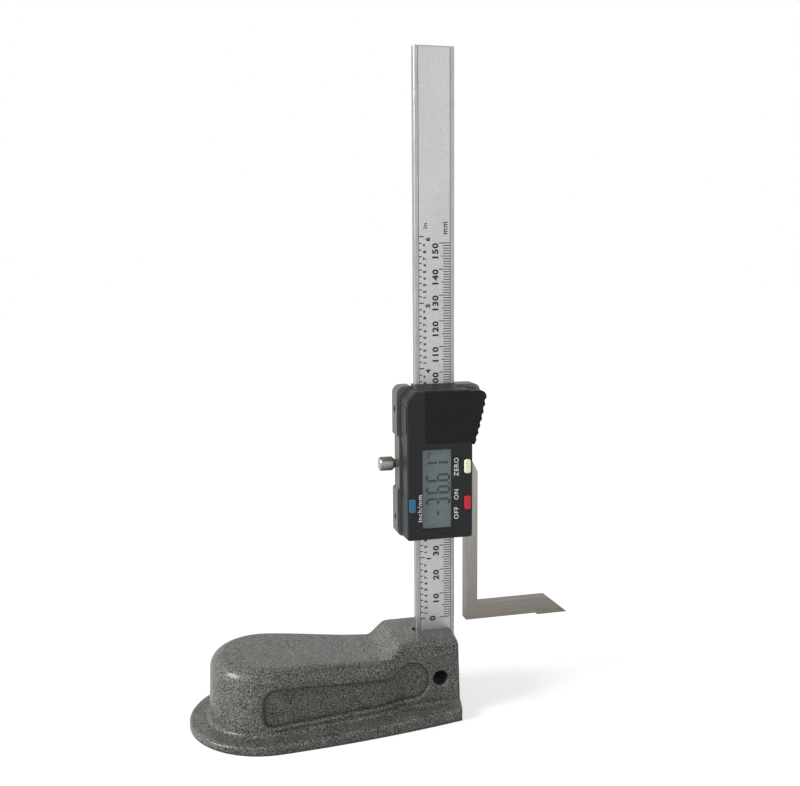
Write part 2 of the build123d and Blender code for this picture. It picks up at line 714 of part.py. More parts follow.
def thumb_arc():
    """Bowed line through the tops of the scallops."""
    foot, tip = (THUMB_FOOT_X, THUMB_FOOT_Z), (THUMB_TIP_X, THUMB_TIP_Z)
    return ThreePointArc(foot, (THUMB_MID_X, THUMB_MID_Z), tip)


def battery_cover():
    """Sliding battery cover: thin front plate and a scalloped thumb grip down its side."""
    y0 = COVER_FRONT
    y1 = FRAME_FRONT - 0.15
    inner = DOOR_INNER_X + DOOR_GAP
    lip_x = COVER_RIGHT + COVER_DRAFT + DOOR_GAP
    lip_z = BAY_BOTTOM - THUMB_LIP_DROP
    bend = (THUMB_TIP_X - 0.6, (THUMB_TIP_Z + DOOR_TOP) / 2 + 0.5)
    edge = thumb_arc()
    edge += ThreePointArc((THUMB_TIP_X, THUMB_TIP_Z), bend, (THUMB_CROWN_X, DOOR_TOP))
    edge += Polyline(
        (THUMB_CROWN_X, DOOR_TOP),
        (inner, DOOR_TOP),
        (inner, BAY_BOTTOM),
        (lip_x, BAY_BOTTOM),
        (lip_x, lip_z),
        (lip_x + THUMB_LIP_W / 2, lip_z),
        (THUMB_FOOT_X, THUMB_FOOT_Z),
    )
    thumb = extrude(Plane.XZ.offset(-y1) * make_face(edge), y1 - y0)
    arc = thumb_arc()
    for i in range(SCALLOPS):
        t = (i + 0.5) / SCALLOPS
        point, along = arc @ t, arc % t
        normal = Vector(along.Y, -along.X)
        centre = point + normal * (SCALLOP_R - SCALLOP_DEPTH)
        thumb -= rod_y(centre.X, centre.Y, SCALLOP_R, y0 - 1, y1 + 1)
    thumb -= block(inner - 1, inner + THUMB_WALL, y0 + DOOR_T, y1 + 1,
                   BAY_BOTTOM + THUMB_WALL, DOOR_TOP - THUMB_WALL)
    face = block(BAY_LEFT, inner, y0, y0 + DOOR_T, BAY_BOTTOM, DOOR_TOP)
    tongue_y = y0 + DOOR_T - DOOR_TONGUE_T
    tongue = block(BAY_LEFT - DOOR_TONGUE, BAY_LEFT, tongue_y, y0 + DOOR_T, BAY_BOTTOM + 1.0, DOOR_TOP)
    return thumb + face + tongue


def port_cover():
    """Push-in cover of the data port in the housing's left side."""
    left = COVER_LEFT - COVER_DRAFT - PORT_PROUD
    g = DOOR_GAP
    body = block(left, COVER_LEFT - COVER_DRAFT + PORT_DEPTH - g, PORT_FRONT + g, PORT_BACK - g,
                 PORT_BOTTOM + g, PORT_TOP - g)
    return fillet(body.edges().filter_by(Axis.Y).filter_by(lambda e: e.center().X < left + 0.1), 0.2)


def cover_waist():
    """Cutter for the finger relief: deepest at the back, running out towards the front."""
    def section(y, depth):
        inner = COVER_LEFT - COVER_DRAFT + depth
        outline = Polyline(
            (inner - 5, COVER_WAIST_LOW - COVER_WAIST_RAMP),
            (COVER_LEFT - COVER_DRAFT - 0.01, COVER_WAIST_LOW - COVER_WAIST_RAMP),
            (inner, COVER_WAIST_LOW + COVER_WAIST_RAMP),
            (inner, COVER_WAIST_HIGH - COVER_WAIST_RAMP),
            (COVER_LEFT - COVER_DRAFT - 0.01, COVER_WAIST_HIGH + COVER_WAIST_RAMP),
            (inner - 5, COVER_WAIST_HIGH + COVER_WAIST_RAMP),
            close=True,
        )
        return Plane.XZ.offset(-y) * make_face(outline)

    deep = section(FRAME_FRONT + 0.5, COVER_WAIST_DEPTH)
    return loft([deep, section(COVER_WAIST_FRONT, 0.02)], ruled=True)


def hood():
    """Part of the housing that closes the frame's front above its window, against the beam."""
    face_y = -BEAM_T / 2 - SLIDE_GAP
    low = FRAME_TOP - WINDOW_END + HOOD_GAP
    rise = HOOD_TOP - COVER_TOP
    side = Polyline(
        (HOOD_START_Y, COVER_TOP - COVER_WALL / 2),
        (HOOD_START_Y, COVER_TOP),
        (FRAME_FRONT, HOOD_TOP - rise / 10),
        (face_y, HOOD_TOP),
        (face_y, low),
        (FRAME_FRONT, low),
        (FRAME_FRONT, COVER_TOP - COVER_WALL / 2),
        close=True,
    )
    body = Pos(HOOD_LEFT) * extrude(Plane.YZ * make_face(side), HOOD_RIGHT - HOOD_LEFT)
    front = Polyline(
        (HOOD_LEFT, low - 1),
        (HOOD_LEFT, HOOD_TOP - HOOD_SLANT),
        (HOOD_LEFT + HOOD_SLANT, HOOD_TOP),
        (HOOD_RIGHT, HOOD_TOP),
        (HOOD_RIGHT, low - 1),
        close=True,
    )
    return body & plate(front, HOOD_START_Y - 1, 0)


def front_cover():
    """Moulded housing with window, key holes, battery bay and port."""
    y_front, y_back = COVER_FRONT, FRAME_FRONT
    body = cover_body(0)
    body = chamfer(body.edges().filter_by(lambda e: abs(e.center().Y - y_front) < 0.01), COVER_EDGE)
    body -= cover_waist()
    room = cover_body(-COVER_WALL)
    room &= block(-50, 50, FACE_INSIDE, y_back + 1, HEAD_BOTTOM + COVER_WALL, BAY_BOTTOM - COVER_WALL)
    board_room = cover_body(-COVER_WALL)
    board_room &= block(-50, DOOR_INNER_X - COVER_WALL, BAY_BACK, y_back + 1,
                        BAY_BOTTOM - 5, COVER_TOP - COVER_WALL)
    for x, z in COVER_SCREWS:
        boss = rod_y(x, z, BOSS_R, COVER_FRONT, FRAME_FRONT)
        room -= boss
        board_room -= boss
    body -= room
    body -= board_room
    body += hood()
    panel_w = LCD_W / 2 + LCD_BORDER + LCD_POCKET_GAP
    panel_h = LCD_H / 2 + LCD_BORDER + LCD_POCKET_GAP
    body -= block(LCD_X - panel_w, LCD_X + panel_w, FACE_INSIDE, FACE_INSIDE + LCD_T + LCD_POCKET_GAP,
                  LCD_Z - panel_h, LCD_Z + panel_h)
    glass_w, glass_h = LCD_W / 2 + WINDOW_GAP, LCD_H / 2 + WINDOW_GAP
    body -= block(LCD_X - glass_w, LCD_X + glass_w, y_front - 1, y_front + WINDOW_T,
                  LCD_Z - glass_h, LCD_Z + glass_h)
    see_w, see_h = LCD_W / 2 - LCD_LEDGE, LCD_H / 2 - LCD_LEDGE
    body -= block(LCD_X - see_w, LCD_X + see_w, y_front, FACE_INSIDE + 0.5,
                  LCD_Z - see_h, LCD_Z + see_h)
    for x, z in KEYS.values():
        body -= key_post(x, z, KEY_W + 2 * KEY_GAP, KEY_H + 2 * KEY_GAP, y_front - 1, FACE_INSIDE + 1.5)
    body -= block(BAY_LEFT - DOOR_GAP, 50, y_front - 1, y_front + DOOR_T + DOOR_GAP,
                  BAY_BOTTOM - DOOR_GAP, 200)
    groove_y = y_front + DOOR_T - DOOR_TONGUE_T - DOOR_GAP
    body -= block(BAY_LEFT - DOOR_TONGUE - DOOR_GAP, BAY_LEFT, groove_y, y_front + DOOR_T + DOOR_GAP,
                  BAY_BOTTOM + 1.0 - DOOR_GAP, 200)
    body -= block(DOOR_INNER_X, 50, y_front - 1, y_back + 1, BAY_BOTTOM - DOOR_GAP, 200)
    bay_floor = y_front + DOOR_T + DOOR_GAP + CELL_T + CONTACT_T
    body -= rod_y(CELL_X, CELL_Z, CELL_R + CELL_GAP, y_front - 1, bay_floor)
    low = CELL_Z - CELL_R - 1.4
    leg_half = CONTACT_W / 2 + 0.2
    body -= block(CELL_X - leg_half, CELL_X + leg_half, y_front, y_back, low - 0.3, low + 2.2)
    right = CELL_X + CELL_R
    body -= block(right - 0.1, right + 0.9, y_front, y_back, CELL_Z - 2.2, CELL_Z + 2.2)
    side = COVER_LEFT - COVER_DRAFT
    body -= block(side - 1, side + PORT_DEPTH, PORT_FRONT, PORT_BACK, PORT_BOTTOM, PORT_TOP)
    for x, z in COVER_SCREWS:
        body -= rod_y(x, z, COVER_SCREW_R, COVER_SCREW_TIP, y_back + 1)
    return body


def key_post(x, z, width, height, y0, y1):
    """Post along Y with a rounded rectangular section."""
    face = Plane.XZ.offset(-y1) * Pos(x, z) * RectangleRounded(width, height, KEY_CORNER)
    return extrude(face, y1 - y0)


def key(x, z):
    """Key cap with its retaining flange and stem."""
    cap = key_post(x, z, KEY_W, KEY_H, COVER_FRONT - KEY_PROUD, FACE_INSIDE + KEY_FLANGE_GAP)
    rim = cap.edges().filter_by(lambda e: abs(e.center().Y - (COVER_FRONT - KEY_PROUD)) < 0.01)
    cap = fillet(rim, 0.3)
    flange_y = FACE_INSIDE + KEY_FLANGE_GAP
    flange = block(x - KEY_FLANGE_W / 2, x + KEY_FLANGE_W / 2, flange_y, flange_y + KEY_FLANGE_T,
                   z - KEY_FLANGE_H / 2, z + KEY_FLANGE_H / 2)
    stem_end = BOARD_FRONT - DOME_H - KEY_TRAVEL - DOME_GAP
    stem = rod_y(x, z, KEY_STEM_R, flange_y, stem_end)
    return cap + flange + stem


def lcd_window():
    """Clear window, flush with the housing's face."""
    return block(LCD_X - LCD_W / 2, LCD_X + LCD_W / 2, COVER_FRONT, COVER_FRONT + WINDOW_T,
                 LCD_Z - LCD_H / 2, LCD_Z + LCD_H / 2)


def lcd_panel():
    """Liquid-crystal glass against the inside of the face."""
    half_w = LCD_W / 2 + LCD_BORDER
    half_h = LCD_H / 2 + LCD_BORDER
    return block(LCD_X - half_w, LCD_X + half_w, FACE_INSIDE, FACE_INSIDE + LCD_T,
                 LCD_Z - half_h, LCD_Z + half_h)


def elastomer_strips():
    """Two striped rubber connectors from the board to the glass."""
    strips = []
    for side in (-1, 1):
        x = LCD_X + side * (LCD_W / 2 + LCD_BORDER - RUBBER_INSET)
        strips.append(block(x - RUBBER_W / 2, x + RUBBER_W / 2, FACE_INSIDE + LCD_T, BOARD_FRONT,
                            LCD_Z - LCD_H / 2, LCD_Z + LCD_H / 2))
    return Compound(children=strips)


def circuit_board():
    """Main board on the frame, with the reading pad that looks down at the scale."""
    left = COVER_LEFT - COVER_DRAFT + COVER_WALL + BOARD_GAP
    right = DOOR_INNER_X - COVER_WALL - BOARD_GAP
    low = HEAD_BOTTOM + COVER_WALL + BOARD_GAP
    high = COVER_TOP - COVER_WALL - BOARD_GAP
    cut = COVER_CHAMFER + 0.5
    outline = Polyline(
        (left, low),
        (left, high - cut),
        (left + cut, high),
        (right, high),
        (right, low),
        close=True,
    )
    board = plate(outline, BOARD_FRONT, FRAME_FRONT)
    for x, z in COVER_SCREWS:
        board -= rod_y(x, z, BOSS_R + 0.2, BOARD_FRONT - 1, FRAME_FRONT + 1)
    wing = KEYS["zero_button"][0] + DOME_R + 0.2
    board += block(right, wing, BOARD_FRONT, FRAME_FRONT,
                   LCD_Z - BOARD_WING_HALF, LCD_Z + BOARD_WING_HALF)
    half = LIP_HALF - SENSOR_INSET
    pad = block(-half, half, FRAME_FRONT, LABEL_FACE - SENSOR_GAP,
                HEAD_BOTTOM + WINDOW_END + 1, FRAME_TOP - WINDOW_END - 1)
    return board + pad


def dome_switches():
    """Snap domes under the three keys."""
    domes = [rod_y(x, z, DOME_R, BOARD_FRONT - DOME_H, BOARD_FRONT) for x, z in KEYS.values()]
    return Compound(children=domes)


def battery_cell():
    """Button cell with its stepped negative side towards the board."""
    y0 = COVER_FRONT + DOOR_T + DOOR_GAP
    can = rod_y(CELL_X, CELL_Z, CELL_R, y0, y0 + CELL_T - 0.6)
    cap = rod_y(CELL_X, CELL_Z, CELL_R - 1.0, y0 + CELL_T - 0.6, y0 + CELL_T)
    return can + cap


def negative_contact():
    """Leaf under the cell with a leg down to the board."""
    y0 = COVER_FRONT + DOOR_T + DOOR_GAP + CELL_T
    low = CELL_Z - CELL_R - 1.4
    half = CONTACT_W / 2
    leaf = block(CELL_X - half, CELL_X + half, y0, y0 + CONTACT_T, low, CELL_Z + 1)
    leg = block(CELL_X - half, CELL_X + half, y0, BOARD_FRONT, low, low + CONTACT_T)
    return leaf + leg


def positive_contact():
    """Spring strip beside the cell, standing on the board."""
    x0 = CELL_X + CELL_R
    return block(x0, x0 + CONTACT_T, COVER_FRONT + DOOR_T + 1, BOARD_FRONT, CELL_Z - 2, CELL_Z + 2)


def cover_screws():
    """Four countersunk screws from the frame's back into the housing."""
    screws = []
    for x, z in COVER_SCREWS:
        screw = rod_y(x, z, COVER_SCREW_R, COVER_SCREW_TIP, FRAME_BACK) + screw_head(x, z)
        screw -= block(x - 1.1, x + 1.1, FRAME_BACK - 0.6, FRAME_BACK + 1, z - 0.25, z + 0.25)
        screw -= block(x - 0.25, x + 0.25, FRAME_BACK - 0.6, FRAME_BACK + 1, z - 1.1, z + 1.1)
        screws.append(screw)
    return Compound(children=screws)


os.makedirs("parts", exist_ok=True)
save("base_casting", base_casting())
save("clamp_screw", clamp_screw())
save("beam", beam())
save("encoder_strip", encoder_strip())
save("scale_label", scale_label())
save("slider_frame", slider_frame())
save("gib_strip", gib_strip())
save("gib_screws", gib_screws())
save("lock_screw", lock_screw())
save("scriber", scriber())
save("carbide_tip", carbide_tip())
save("scriber_screws", scriber_screws())
save("front_cover", front_cover())
save("lcd_window", lcd_window())
save("lcd_panel", lcd_panel())
save("elastomer_strips", elastomer_strips())
save("circuit_board", circuit_board())
save("dome_switches", dome_switches())
for key_name, (key_x, key_z) in KEYS.items():
    save(key_name, key(key_x, key_z))
save("battery_cell", battery_cell())
save("negative_contact", negative_contact())
save("positive_contact", positive_contact())
save("battery_cover", battery_cover())
save("port_cover", port_cover())
save("cover_screws", cover_screws())
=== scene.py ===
# %% [markdown]
# # Electronic height gauge
# A height gauge measures and scribes heights above a surface plate. This one has a heavy
# cast base that is held in the hand, an upright beam with a millimetre and an inch scale,
# and a display head that slides on the beam and carries a hard-tipped scriber.
# The solids come ready made, in metres and in place. The lesson gives each of them the
# finish of the real thing, prints the scale and the legends, and lights a small studio.
# %% Load the solids
import math

import bmesh
import bpy
from mathutils import Matrix, Vector


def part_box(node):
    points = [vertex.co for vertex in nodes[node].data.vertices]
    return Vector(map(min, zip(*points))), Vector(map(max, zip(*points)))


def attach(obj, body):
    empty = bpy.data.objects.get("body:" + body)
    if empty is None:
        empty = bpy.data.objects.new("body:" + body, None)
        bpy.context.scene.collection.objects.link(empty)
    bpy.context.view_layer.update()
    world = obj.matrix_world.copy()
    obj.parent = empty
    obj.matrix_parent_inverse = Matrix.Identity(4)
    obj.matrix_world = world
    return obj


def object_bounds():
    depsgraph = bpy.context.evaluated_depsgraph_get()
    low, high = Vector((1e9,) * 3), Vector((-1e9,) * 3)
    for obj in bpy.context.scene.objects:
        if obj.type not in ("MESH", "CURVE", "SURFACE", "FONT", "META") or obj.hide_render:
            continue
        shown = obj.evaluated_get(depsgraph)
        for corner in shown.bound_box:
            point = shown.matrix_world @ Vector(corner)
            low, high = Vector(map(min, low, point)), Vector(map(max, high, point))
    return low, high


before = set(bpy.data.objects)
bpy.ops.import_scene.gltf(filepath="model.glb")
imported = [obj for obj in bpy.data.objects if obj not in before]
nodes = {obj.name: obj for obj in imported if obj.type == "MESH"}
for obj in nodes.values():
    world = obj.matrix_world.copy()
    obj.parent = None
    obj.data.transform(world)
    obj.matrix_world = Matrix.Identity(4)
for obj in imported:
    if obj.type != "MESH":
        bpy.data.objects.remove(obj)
cad_low, cad_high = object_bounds()
MM = 0.001
print("solids:", len(nodes), "height in mm:", round((cad_high[2] - cad_low[2]) / MM, 1))

# %% [markdown]
# ## Camera
# The gauge is seen from a little above and from its left, from about 40 cm away. The lens
# follows from the picture's width in pixels: focal length in pixels, over 800, times the
# 36 mm of the sensor. A camera could be aimed with a Track To constraint and an empty, but
# that leaves its roll open. Here its three axes are written out from heading, tilt and
# roll, so no helper object is needed.
# %% Aim the camera
CAMERA_SPOT = Vector((-0.1061, -0.3654, 0.1799))
HEADING = 0.24777      # radians to the right of +Y
TILT = 0.13905         # radians down
ROLL = -0.00743

ahead = Vector((math.cos(TILT) * math.sin(HEADING),
                math.cos(TILT) * math.cos(HEADING),
                -math.sin(TILT)))
level_right = Vector((math.cos(HEADING), -math.sin(HEADING), 0))
level_down = ahead.cross(level_right)
right = math.cos(ROLL) * level_right - math.sin(ROLL) * level_down
down = math.sin(ROLL) * level_right + math.cos(ROLL) * level_down
print("camera looks along:", [round(part, 3) for part in ahead])

# %% [markdown]
# A Blender camera looks along its own -Z with +Y up, so the columns of its turning matrix
# are right, up and back. The view transform is set to Standard, so that a colour that is
# written below comes out as written.
# %% Place the camera
IMAGE_WIDTH = 800
FOCAL_PIXELS = 974.33
SENSOR_MM = 36.0
NEAREST_SEEN = 0.01

camera_data = bpy.data.cameras.new("studio_camera")
camera_data.sensor_width = SENSOR_MM
camera_data.sensor_fit = "HORIZONTAL"
camera_data.lens = FOCAL_PIXELS / IMAGE_WIDTH * SENSOR_MM
camera_data.clip_start = NEAREST_SEEN
camera = bpy.data.objects.new("studio_camera", camera_data)
turn = Matrix((right, -down, -ahead)).transposed()
camera.matrix_world = Matrix.Translation(CAMERA_SPOT) @ turn.to_4x4()
bpy.context.scene.collection.objects.link(camera)
bpy.context.scene.camera = camera
bpy.context.scene.view_settings.view_transform = "Standard"
print("lens in mm:", round(camera_data.lens, 2))

# %% [markdown]
# ## Colours
# Colours are written as sRGB hex, as a paint chart gives them. The shaders add up light,
# which needs linear values, so one function turns the first into the second. Ramps that
# steer roughness or height take a plain level instead.
# %% Colour helpers
def paint(hex_code):
    """sRGB hex to linear RGBA."""
    parts = [int(hex_code[i:i + 2], 16) / 255 for i in (1, 3, 5)]
    linear = [c / 12.92 if c <= 0.04045 else ((c + 0.055) / 1.055) ** 2.4 for c in parts]
    return (*linear, 1.0)


def grey(level):
    """A neutral value for ramps that steer roughness or height."""
    return (level, level, level, 1.0)


print("mid grey #808080 is", round(paint("#808080")[0], 3), "linear")

# %% [markdown]
# ## Shader nodes
# A finish is a small network of nodes. It could be wired by hand in the Shader Editor. In
# a script, one function that adds a node with its settings and links is enough, and each
# finish then reads as a short list from pattern to surface.
# %% Node helpers
def new_finish(name):
    """An empty node material."""
    finish = bpy.data.materials.new(name)
    finish.use_nodes = True
    finish.node_tree.nodes.clear()
    return finish


def add_node(finish, kind, settings=None, links=None):
    """Add one shader node, give it its settings, and join what feeds it."""
    node = finish.node_tree.nodes.new(kind)
    for name, value in (settings or {}).items():
        if name == "stops":
            ramp = node.color_ramp.elements
            while len(ramp) < len(value):
                ramp.new(0.5)
            for stop, (place, shade) in zip(ramp, value):
                stop.position = place
                stop.color = shade
        elif isinstance(name, str) and hasattr(node, name):
            setattr(node, name, value)
        else:
            node.inputs[name].default_value = value
    for name, source in (links or {}).items():
        finish.node_tree.links.new(source, node.inputs[name])
    return node


print("node helpers:", new_finish.__name__, add_node.__name__)

# %% [markdown]
# ## Real sizes in a pattern
# Object coordinates are in metres here, and a noise has about one feature per unit of its
# Scale. So the Scale is one over the feature's size, and each pattern below can be given
# in the millimetres of the real surface. UV maps aren't needed for this.
# %% Scale and coat helpers
def per_mm(size, along=None):
    """Noise scale for features of this size in mm, as one number or per axis."""
    if along is None:
        return 1 / (size * MM)
    return tuple(1 / (s * MM) for s in along)


def coat(finish, *names):
    """Give solids this finish."""
    for name in names:
        mesh = nodes[name].data
        mesh.materials.clear()
        mesh.materials.append(finish)


print("a 1 mm pattern has scale", per_mm(1.0))

# %% [markdown]
# ## Hammertone enamel on the base
# Hammertone is an enamel with leafing aluminium flake and a little silicone. As it dries,
# the silicone pulls the film into small dimples, so the coat looks like beaten metal:
# grey-green islands about a millimetre wide with dark veins between them.
# A scanned texture would fix it to one size and need a UV map, so it is procedural. A
# Voronoi pattern, read as the distance to the cells' edges, gives islands and veins. A
# noise bends the veins first, and a finer one breaks up the islands for the flake.
# %% Hammertone pattern
DIMPLE_MM = 1.0
FLAKE_MM = 0.52           # real flake is some hundredths of a mm: drawn coarser, to show
BEND_MM = 1.1             # how far apart the bends in the veins lie
BEND_REACH_MM = 0.9       # and how far they carry a vein
SWELL_MM = 7.0            # slow drift of the tone over the casting
ISLAND_SHARE = 0.55
SWELL_SHARE = 0.12

hammertone = new_finish("hammertone_enamel")
place = add_node(hammertone, "ShaderNodeTexCoord")
bend = add_node(hammertone, "ShaderNodeTexNoise", {"Scale": per_mm(BEND_MM), "Detail": 2.0},
                {"Vector": place.outputs["Object"]})
bent = add_node(hammertone, "ShaderNodeVectorMath",
                {"operation": "MULTIPLY_ADD", 1: (BEND_REACH_MM * MM,) * 3},
                {0: bend.outputs["Color"], 2: place.outputs["Object"]})
islands = add_node(hammertone, "ShaderNodeTexVoronoi",
                   {"feature": "DISTANCE_TO_EDGE", "Scale": per_mm(DIMPLE_MM)},
                   {"Vector": bent.outputs[0]})
flake = add_node(hammertone, "ShaderNodeTexNoise",
                 {"Scale": per_mm(FLAKE_MM), "Detail": 2.0, "Roughness": 0.6},
                 {"Vector": place.outputs["Object"]})
swell = add_node(hammertone, "ShaderNodeTexNoise", {"Scale": per_mm(SWELL_MM), "Detail": 2.0},
                 {"Vector": place.outputs["Object"]})
crests = add_node(hammertone, "ShaderNodeMath", {"operation": "MULTIPLY_ADD", 1: ISLAND_SHARE},
                  {0: islands.outputs["Distance"], 2: flake.outputs["Fac"]})
mottled = add_node(hammertone, "ShaderNodeMath", {"operation": "MULTIPLY_ADD", 1: SWELL_SHARE},
                   {0: swell.outputs["Fac"], 2: crests.outputs[0]})
print("hammertone dimples in mm:", DIMPLE_MM)

# %% [markdown]
# ## Hammertone colour and height
# One pattern drives both colour and bump, because on the real coat the flake gathers on
# the crests. The ramp climbs fast out of the veins and slowly over the islands. To the
# eye that is an even grey with dark specks, and not light specks on black.
# %% Hammertone colour and height
DIMPLE_DEPTH_MM = 0.12

shade = add_node(hammertone, "ShaderNodeValToRGB",
                 {"stops": [(0.49, paint("#161917")), (0.61, paint("#51544f")),
                            (0.84, paint("#7f817a"))]},
                 {"Fac": mottled.outputs[0]})
height = add_node(hammertone, "ShaderNodeValToRGB",
                  {"stops": [(0.5, grey(0.0)), (0.8, grey(1.0))]}, {"Fac": mottled.outputs[0]})
dimples = add_node(hammertone, "ShaderNodeBump",
                   {"Strength": 0.7, "Distance": DIMPLE_DEPTH_MM * MM},
                   {"Height": height.outputs["Color"]})
print("dimples are", DIMPLE_DEPTH_MM, "mm deep")

# %% [markdown]
# ## Hollows of the enamel
# The enamel is painted darker in tight corners, and most of all under an edge: painted
# shade, standing in for the shade that falls there. It could be painted by hand as a mask.
# Here Ambient Occlusion finds the corners, and the surface's own direction tells the
# undersides from the ledges that face up. The two are multiplied into one mask, which holds for
# any shape.
# %% Enamel hollows
CORNER_REACH_MM = 1.6

corner = add_node(hammertone, "ShaderNodeAmbientOcclusion",
                  {"samples": 6, "Distance": CORNER_REACH_MM * MM})
hollow = add_node(hammertone, "ShaderNodeMapRange",
                  {"From Min": 0.45, "From Max": 0.95, "To Min": 1.0, "To Max": 0.0},
                  {"Value": corner.outputs["AO"]})
facing = add_node(hammertone, "ShaderNodeNewGeometry")
upward = add_node(hammertone, "ShaderNodeSeparateXYZ", links={0: facing.outputs["Normal"]})
under = add_node(hammertone, "ShaderNodeMapRange",
                 {"From Min": 0.0, "From Max": 0.6, "To Min": 1.0, "To Max": 0.0},
                 {"Value": upward.outputs["Z"]})
# Painted shade: this mask marks the corners and undersides of the enamel.
painted_shade_mask = add_node(hammertone, "ShaderNodeMath", {"operation": "MULTIPLY"},
                 {0: hollow.outputs["Result"], 1: under.outputs["Result"]})
# Painted shade: where the mask is high, the enamel colour turns near black.
shaded_enamel = add_node(hammertone, "ShaderNodeMix", {"data_type": "RGBA", 7: paint("#161816")},
                {0: painted_shade_mask.outputs[0], 6: shade.outputs["Color"]})
print("hollows reach in mm:", CORNER_REACH_MM)

# %% [markdown]
# ## Skin of the enamel
# The flake makes the colour only a little metallic, since most of it lies under pigment.
# Over it lies clear resin. It could be a second shader in a Mix, but the Principled
# shader's coat is made for it: a layer of its own, smoother than the flake below, so that
# round edges carry a sharp light while the flats stay dull.
# %% Enamel skin
skin = add_node(hammertone, "ShaderNodeBsdfPrincipled",
                {"Metallic": 0.12, "Roughness": 0.5, "Specular IOR Level": 0.15,
                 "Coat Weight": 0.32, "Coat Roughness": 0.16},
                {"Base Color": shaded_enamel.outputs[2], "Normal": dimples.outputs["Normal"]})
add_node(hammertone, "ShaderNodeOutputMaterial", links={"Surface": skin.outputs["BSDF"]})
coat(hammertone, "base_casting")
print("nodes in the enamel:", len(hammertone.node_tree.nodes))

# %% [markdown]
# ## Ground steel
# Grinding leaves scratches a few hundredths of a millimetre wide and centimetres long.
# Scratches that fine don't show at this distance, so they are drawn 0.35 mm wide, as the
# eye sees them in bunches. Anisotropy would give the streaked highlight alone, without the
# streaks. So a noise is stretched along the grinding direction, and changes colour,
# roughness and height a little. The same recipe serves every small metal piece, with its
# own colours and grain: a round grain stands for blasted or plated metal.
# %% Ground metal
GRAIN_WIDE_MM = 0.35
GRAIN_LONG_MM = 14.0
CLOUD_MM = 9.0
CLOUD_SHARE = 0.3
SCRATCH_DEPTH_MM = 0.02


def ground_steel(name, dark, light, grain, rough_low, rough_high, relief=0.25, shine=0.85):
    """Ground metal: grain gives the scratch size in mm along X, Y and Z."""
    finish = new_finish(name)
    place = add_node(finish, "ShaderNodeTexCoord")
    stretch = add_node(finish, "ShaderNodeMapping", {"Scale": per_mm(0, grain)},
                       {"Vector": place.outputs["Object"]})
    scratches = add_node(finish, "ShaderNodeTexNoise",
                         {"Scale": 1.0, "Detail": 5.0, "Roughness": 0.6},
                         {"Vector": stretch.outputs["Vector"]})
    cloud = add_node(finish, "ShaderNodeTexNoise", {"Scale": per_mm(CLOUD_MM), "Detail": 2.0},
                     {"Vector": place.outputs["Object"]})
    mixed = add_node(finish, "ShaderNodeMath", {"operation": "MULTIPLY_ADD", 1: CLOUD_SHARE},
                     {0: cloud.outputs["Fac"], 2: scratches.outputs["Fac"]})
    shade = add_node(finish, "ShaderNodeValToRGB",
                     {"stops": [(0.5, paint(dark)), (0.8, paint(light))]},
                     {"Fac": mixed.outputs[0]})
    rough = add_node(finish, "ShaderNodeMapRange",
                     {"From Min": 0.3, "From Max": 0.7, "To Min": rough_low, "To Max": rough_high},
                     {"Value": scratches.outputs["Fac"]})
    bump = add_node(finish, "ShaderNodeBump",
                    {"Strength": relief, "Distance": SCRATCH_DEPTH_MM * MM},
                    {"Height": scratches.outputs["Fac"]})
    metal = add_node(finish, "ShaderNodeBsdfPrincipled", {"Metallic": shine},
                     {"Base Color": shade.outputs["Color"], "Roughness": rough.outputs["Result"],
                      "Normal": bump.outputs["Normal"]})
    add_node(finish, "ShaderNodeOutputMaterial", links={"Surface": metal.outputs["BSDF"]})
    return finish


print("scratches in mm:", GRAIN_WIDE_MM, "by", GRAIN_LONG_MM)

# %% [markdown]
# ## Beam
# The beam is hardened stainless steel, ground along its length on both faces. That gives
# the eye a pale satin strip on each side of the scale, with faint upright streaks and no
# clear mirror image.
# %% Ground stainless beam
up_the_beam = (GRAIN_WIDE_MM, GRAIN_WIDE_MM, GRAIN_LONG_MM)
stainless = ground_steel("ground_stainless_steel", "#8e8d8b", "#a6a5a3", up_the_beam, 0.3, 0.42)
coat(stainless, "beam")
print("ground finish:", stainless.name)

# %% [markdown]
# ## Grain of the scriber
# The scriber is tool steel, cut from plate as an L and ground along each leg, so the
# scratches run up the upright and along the arm. Two materials would need the mesh split
# at the corner. Instead the height of a point tells which leg it is on, and picks one of
# two stretched noises there.
# %% Scriber grain
ARM_TOP_MM = 39.3

tool_steel = new_finish("ground_tool_steel")
place = add_node(tool_steel, "ShaderNodeTexCoord")
spot = add_node(tool_steel, "ShaderNodeSeparateXYZ", links={"Vector": place.outputs["Object"]})
on_upright = add_node(tool_steel, "ShaderNodeMath",
                      {"operation": "GREATER_THAN", 1: ARM_TOP_MM * MM},
                      {0: spot.outputs["Z"]})
along_the_arm = (GRAIN_LONG_MM, GRAIN_WIDE_MM, GRAIN_WIDE_MM)
legs = []
for grain in (along_the_arm, up_the_beam):
    stretch = add_node(tool_steel, "ShaderNodeMapping", {"Scale": per_mm(0, grain)},
                       {"Vector": place.outputs["Object"]})
    legs.append(add_node(tool_steel, "ShaderNodeTexNoise",
                         {"Scale": 1.0, "Detail": 5.0, "Roughness": 0.6},
                         {"Vector": stretch.outputs["Vector"]}))
scratches = add_node(tool_steel, "ShaderNodeMix", {},
                     {0: on_upright.outputs[0],
                      2: legs[0].outputs["Fac"], 3: legs[1].outputs["Fac"]})
print("grain turns at height in mm:", ARM_TOP_MM)

# %% [markdown]
# ## Tone of the scriber
# The steel is darker and browner towards the bottom, so the arm is darker than the upright.
# The tone changes slowly with height, between two pairs of colours.
# %% Tool steel
DARKER_BELOW_MM = 30.0
LIGHTER_ABOVE_MM = 85.0
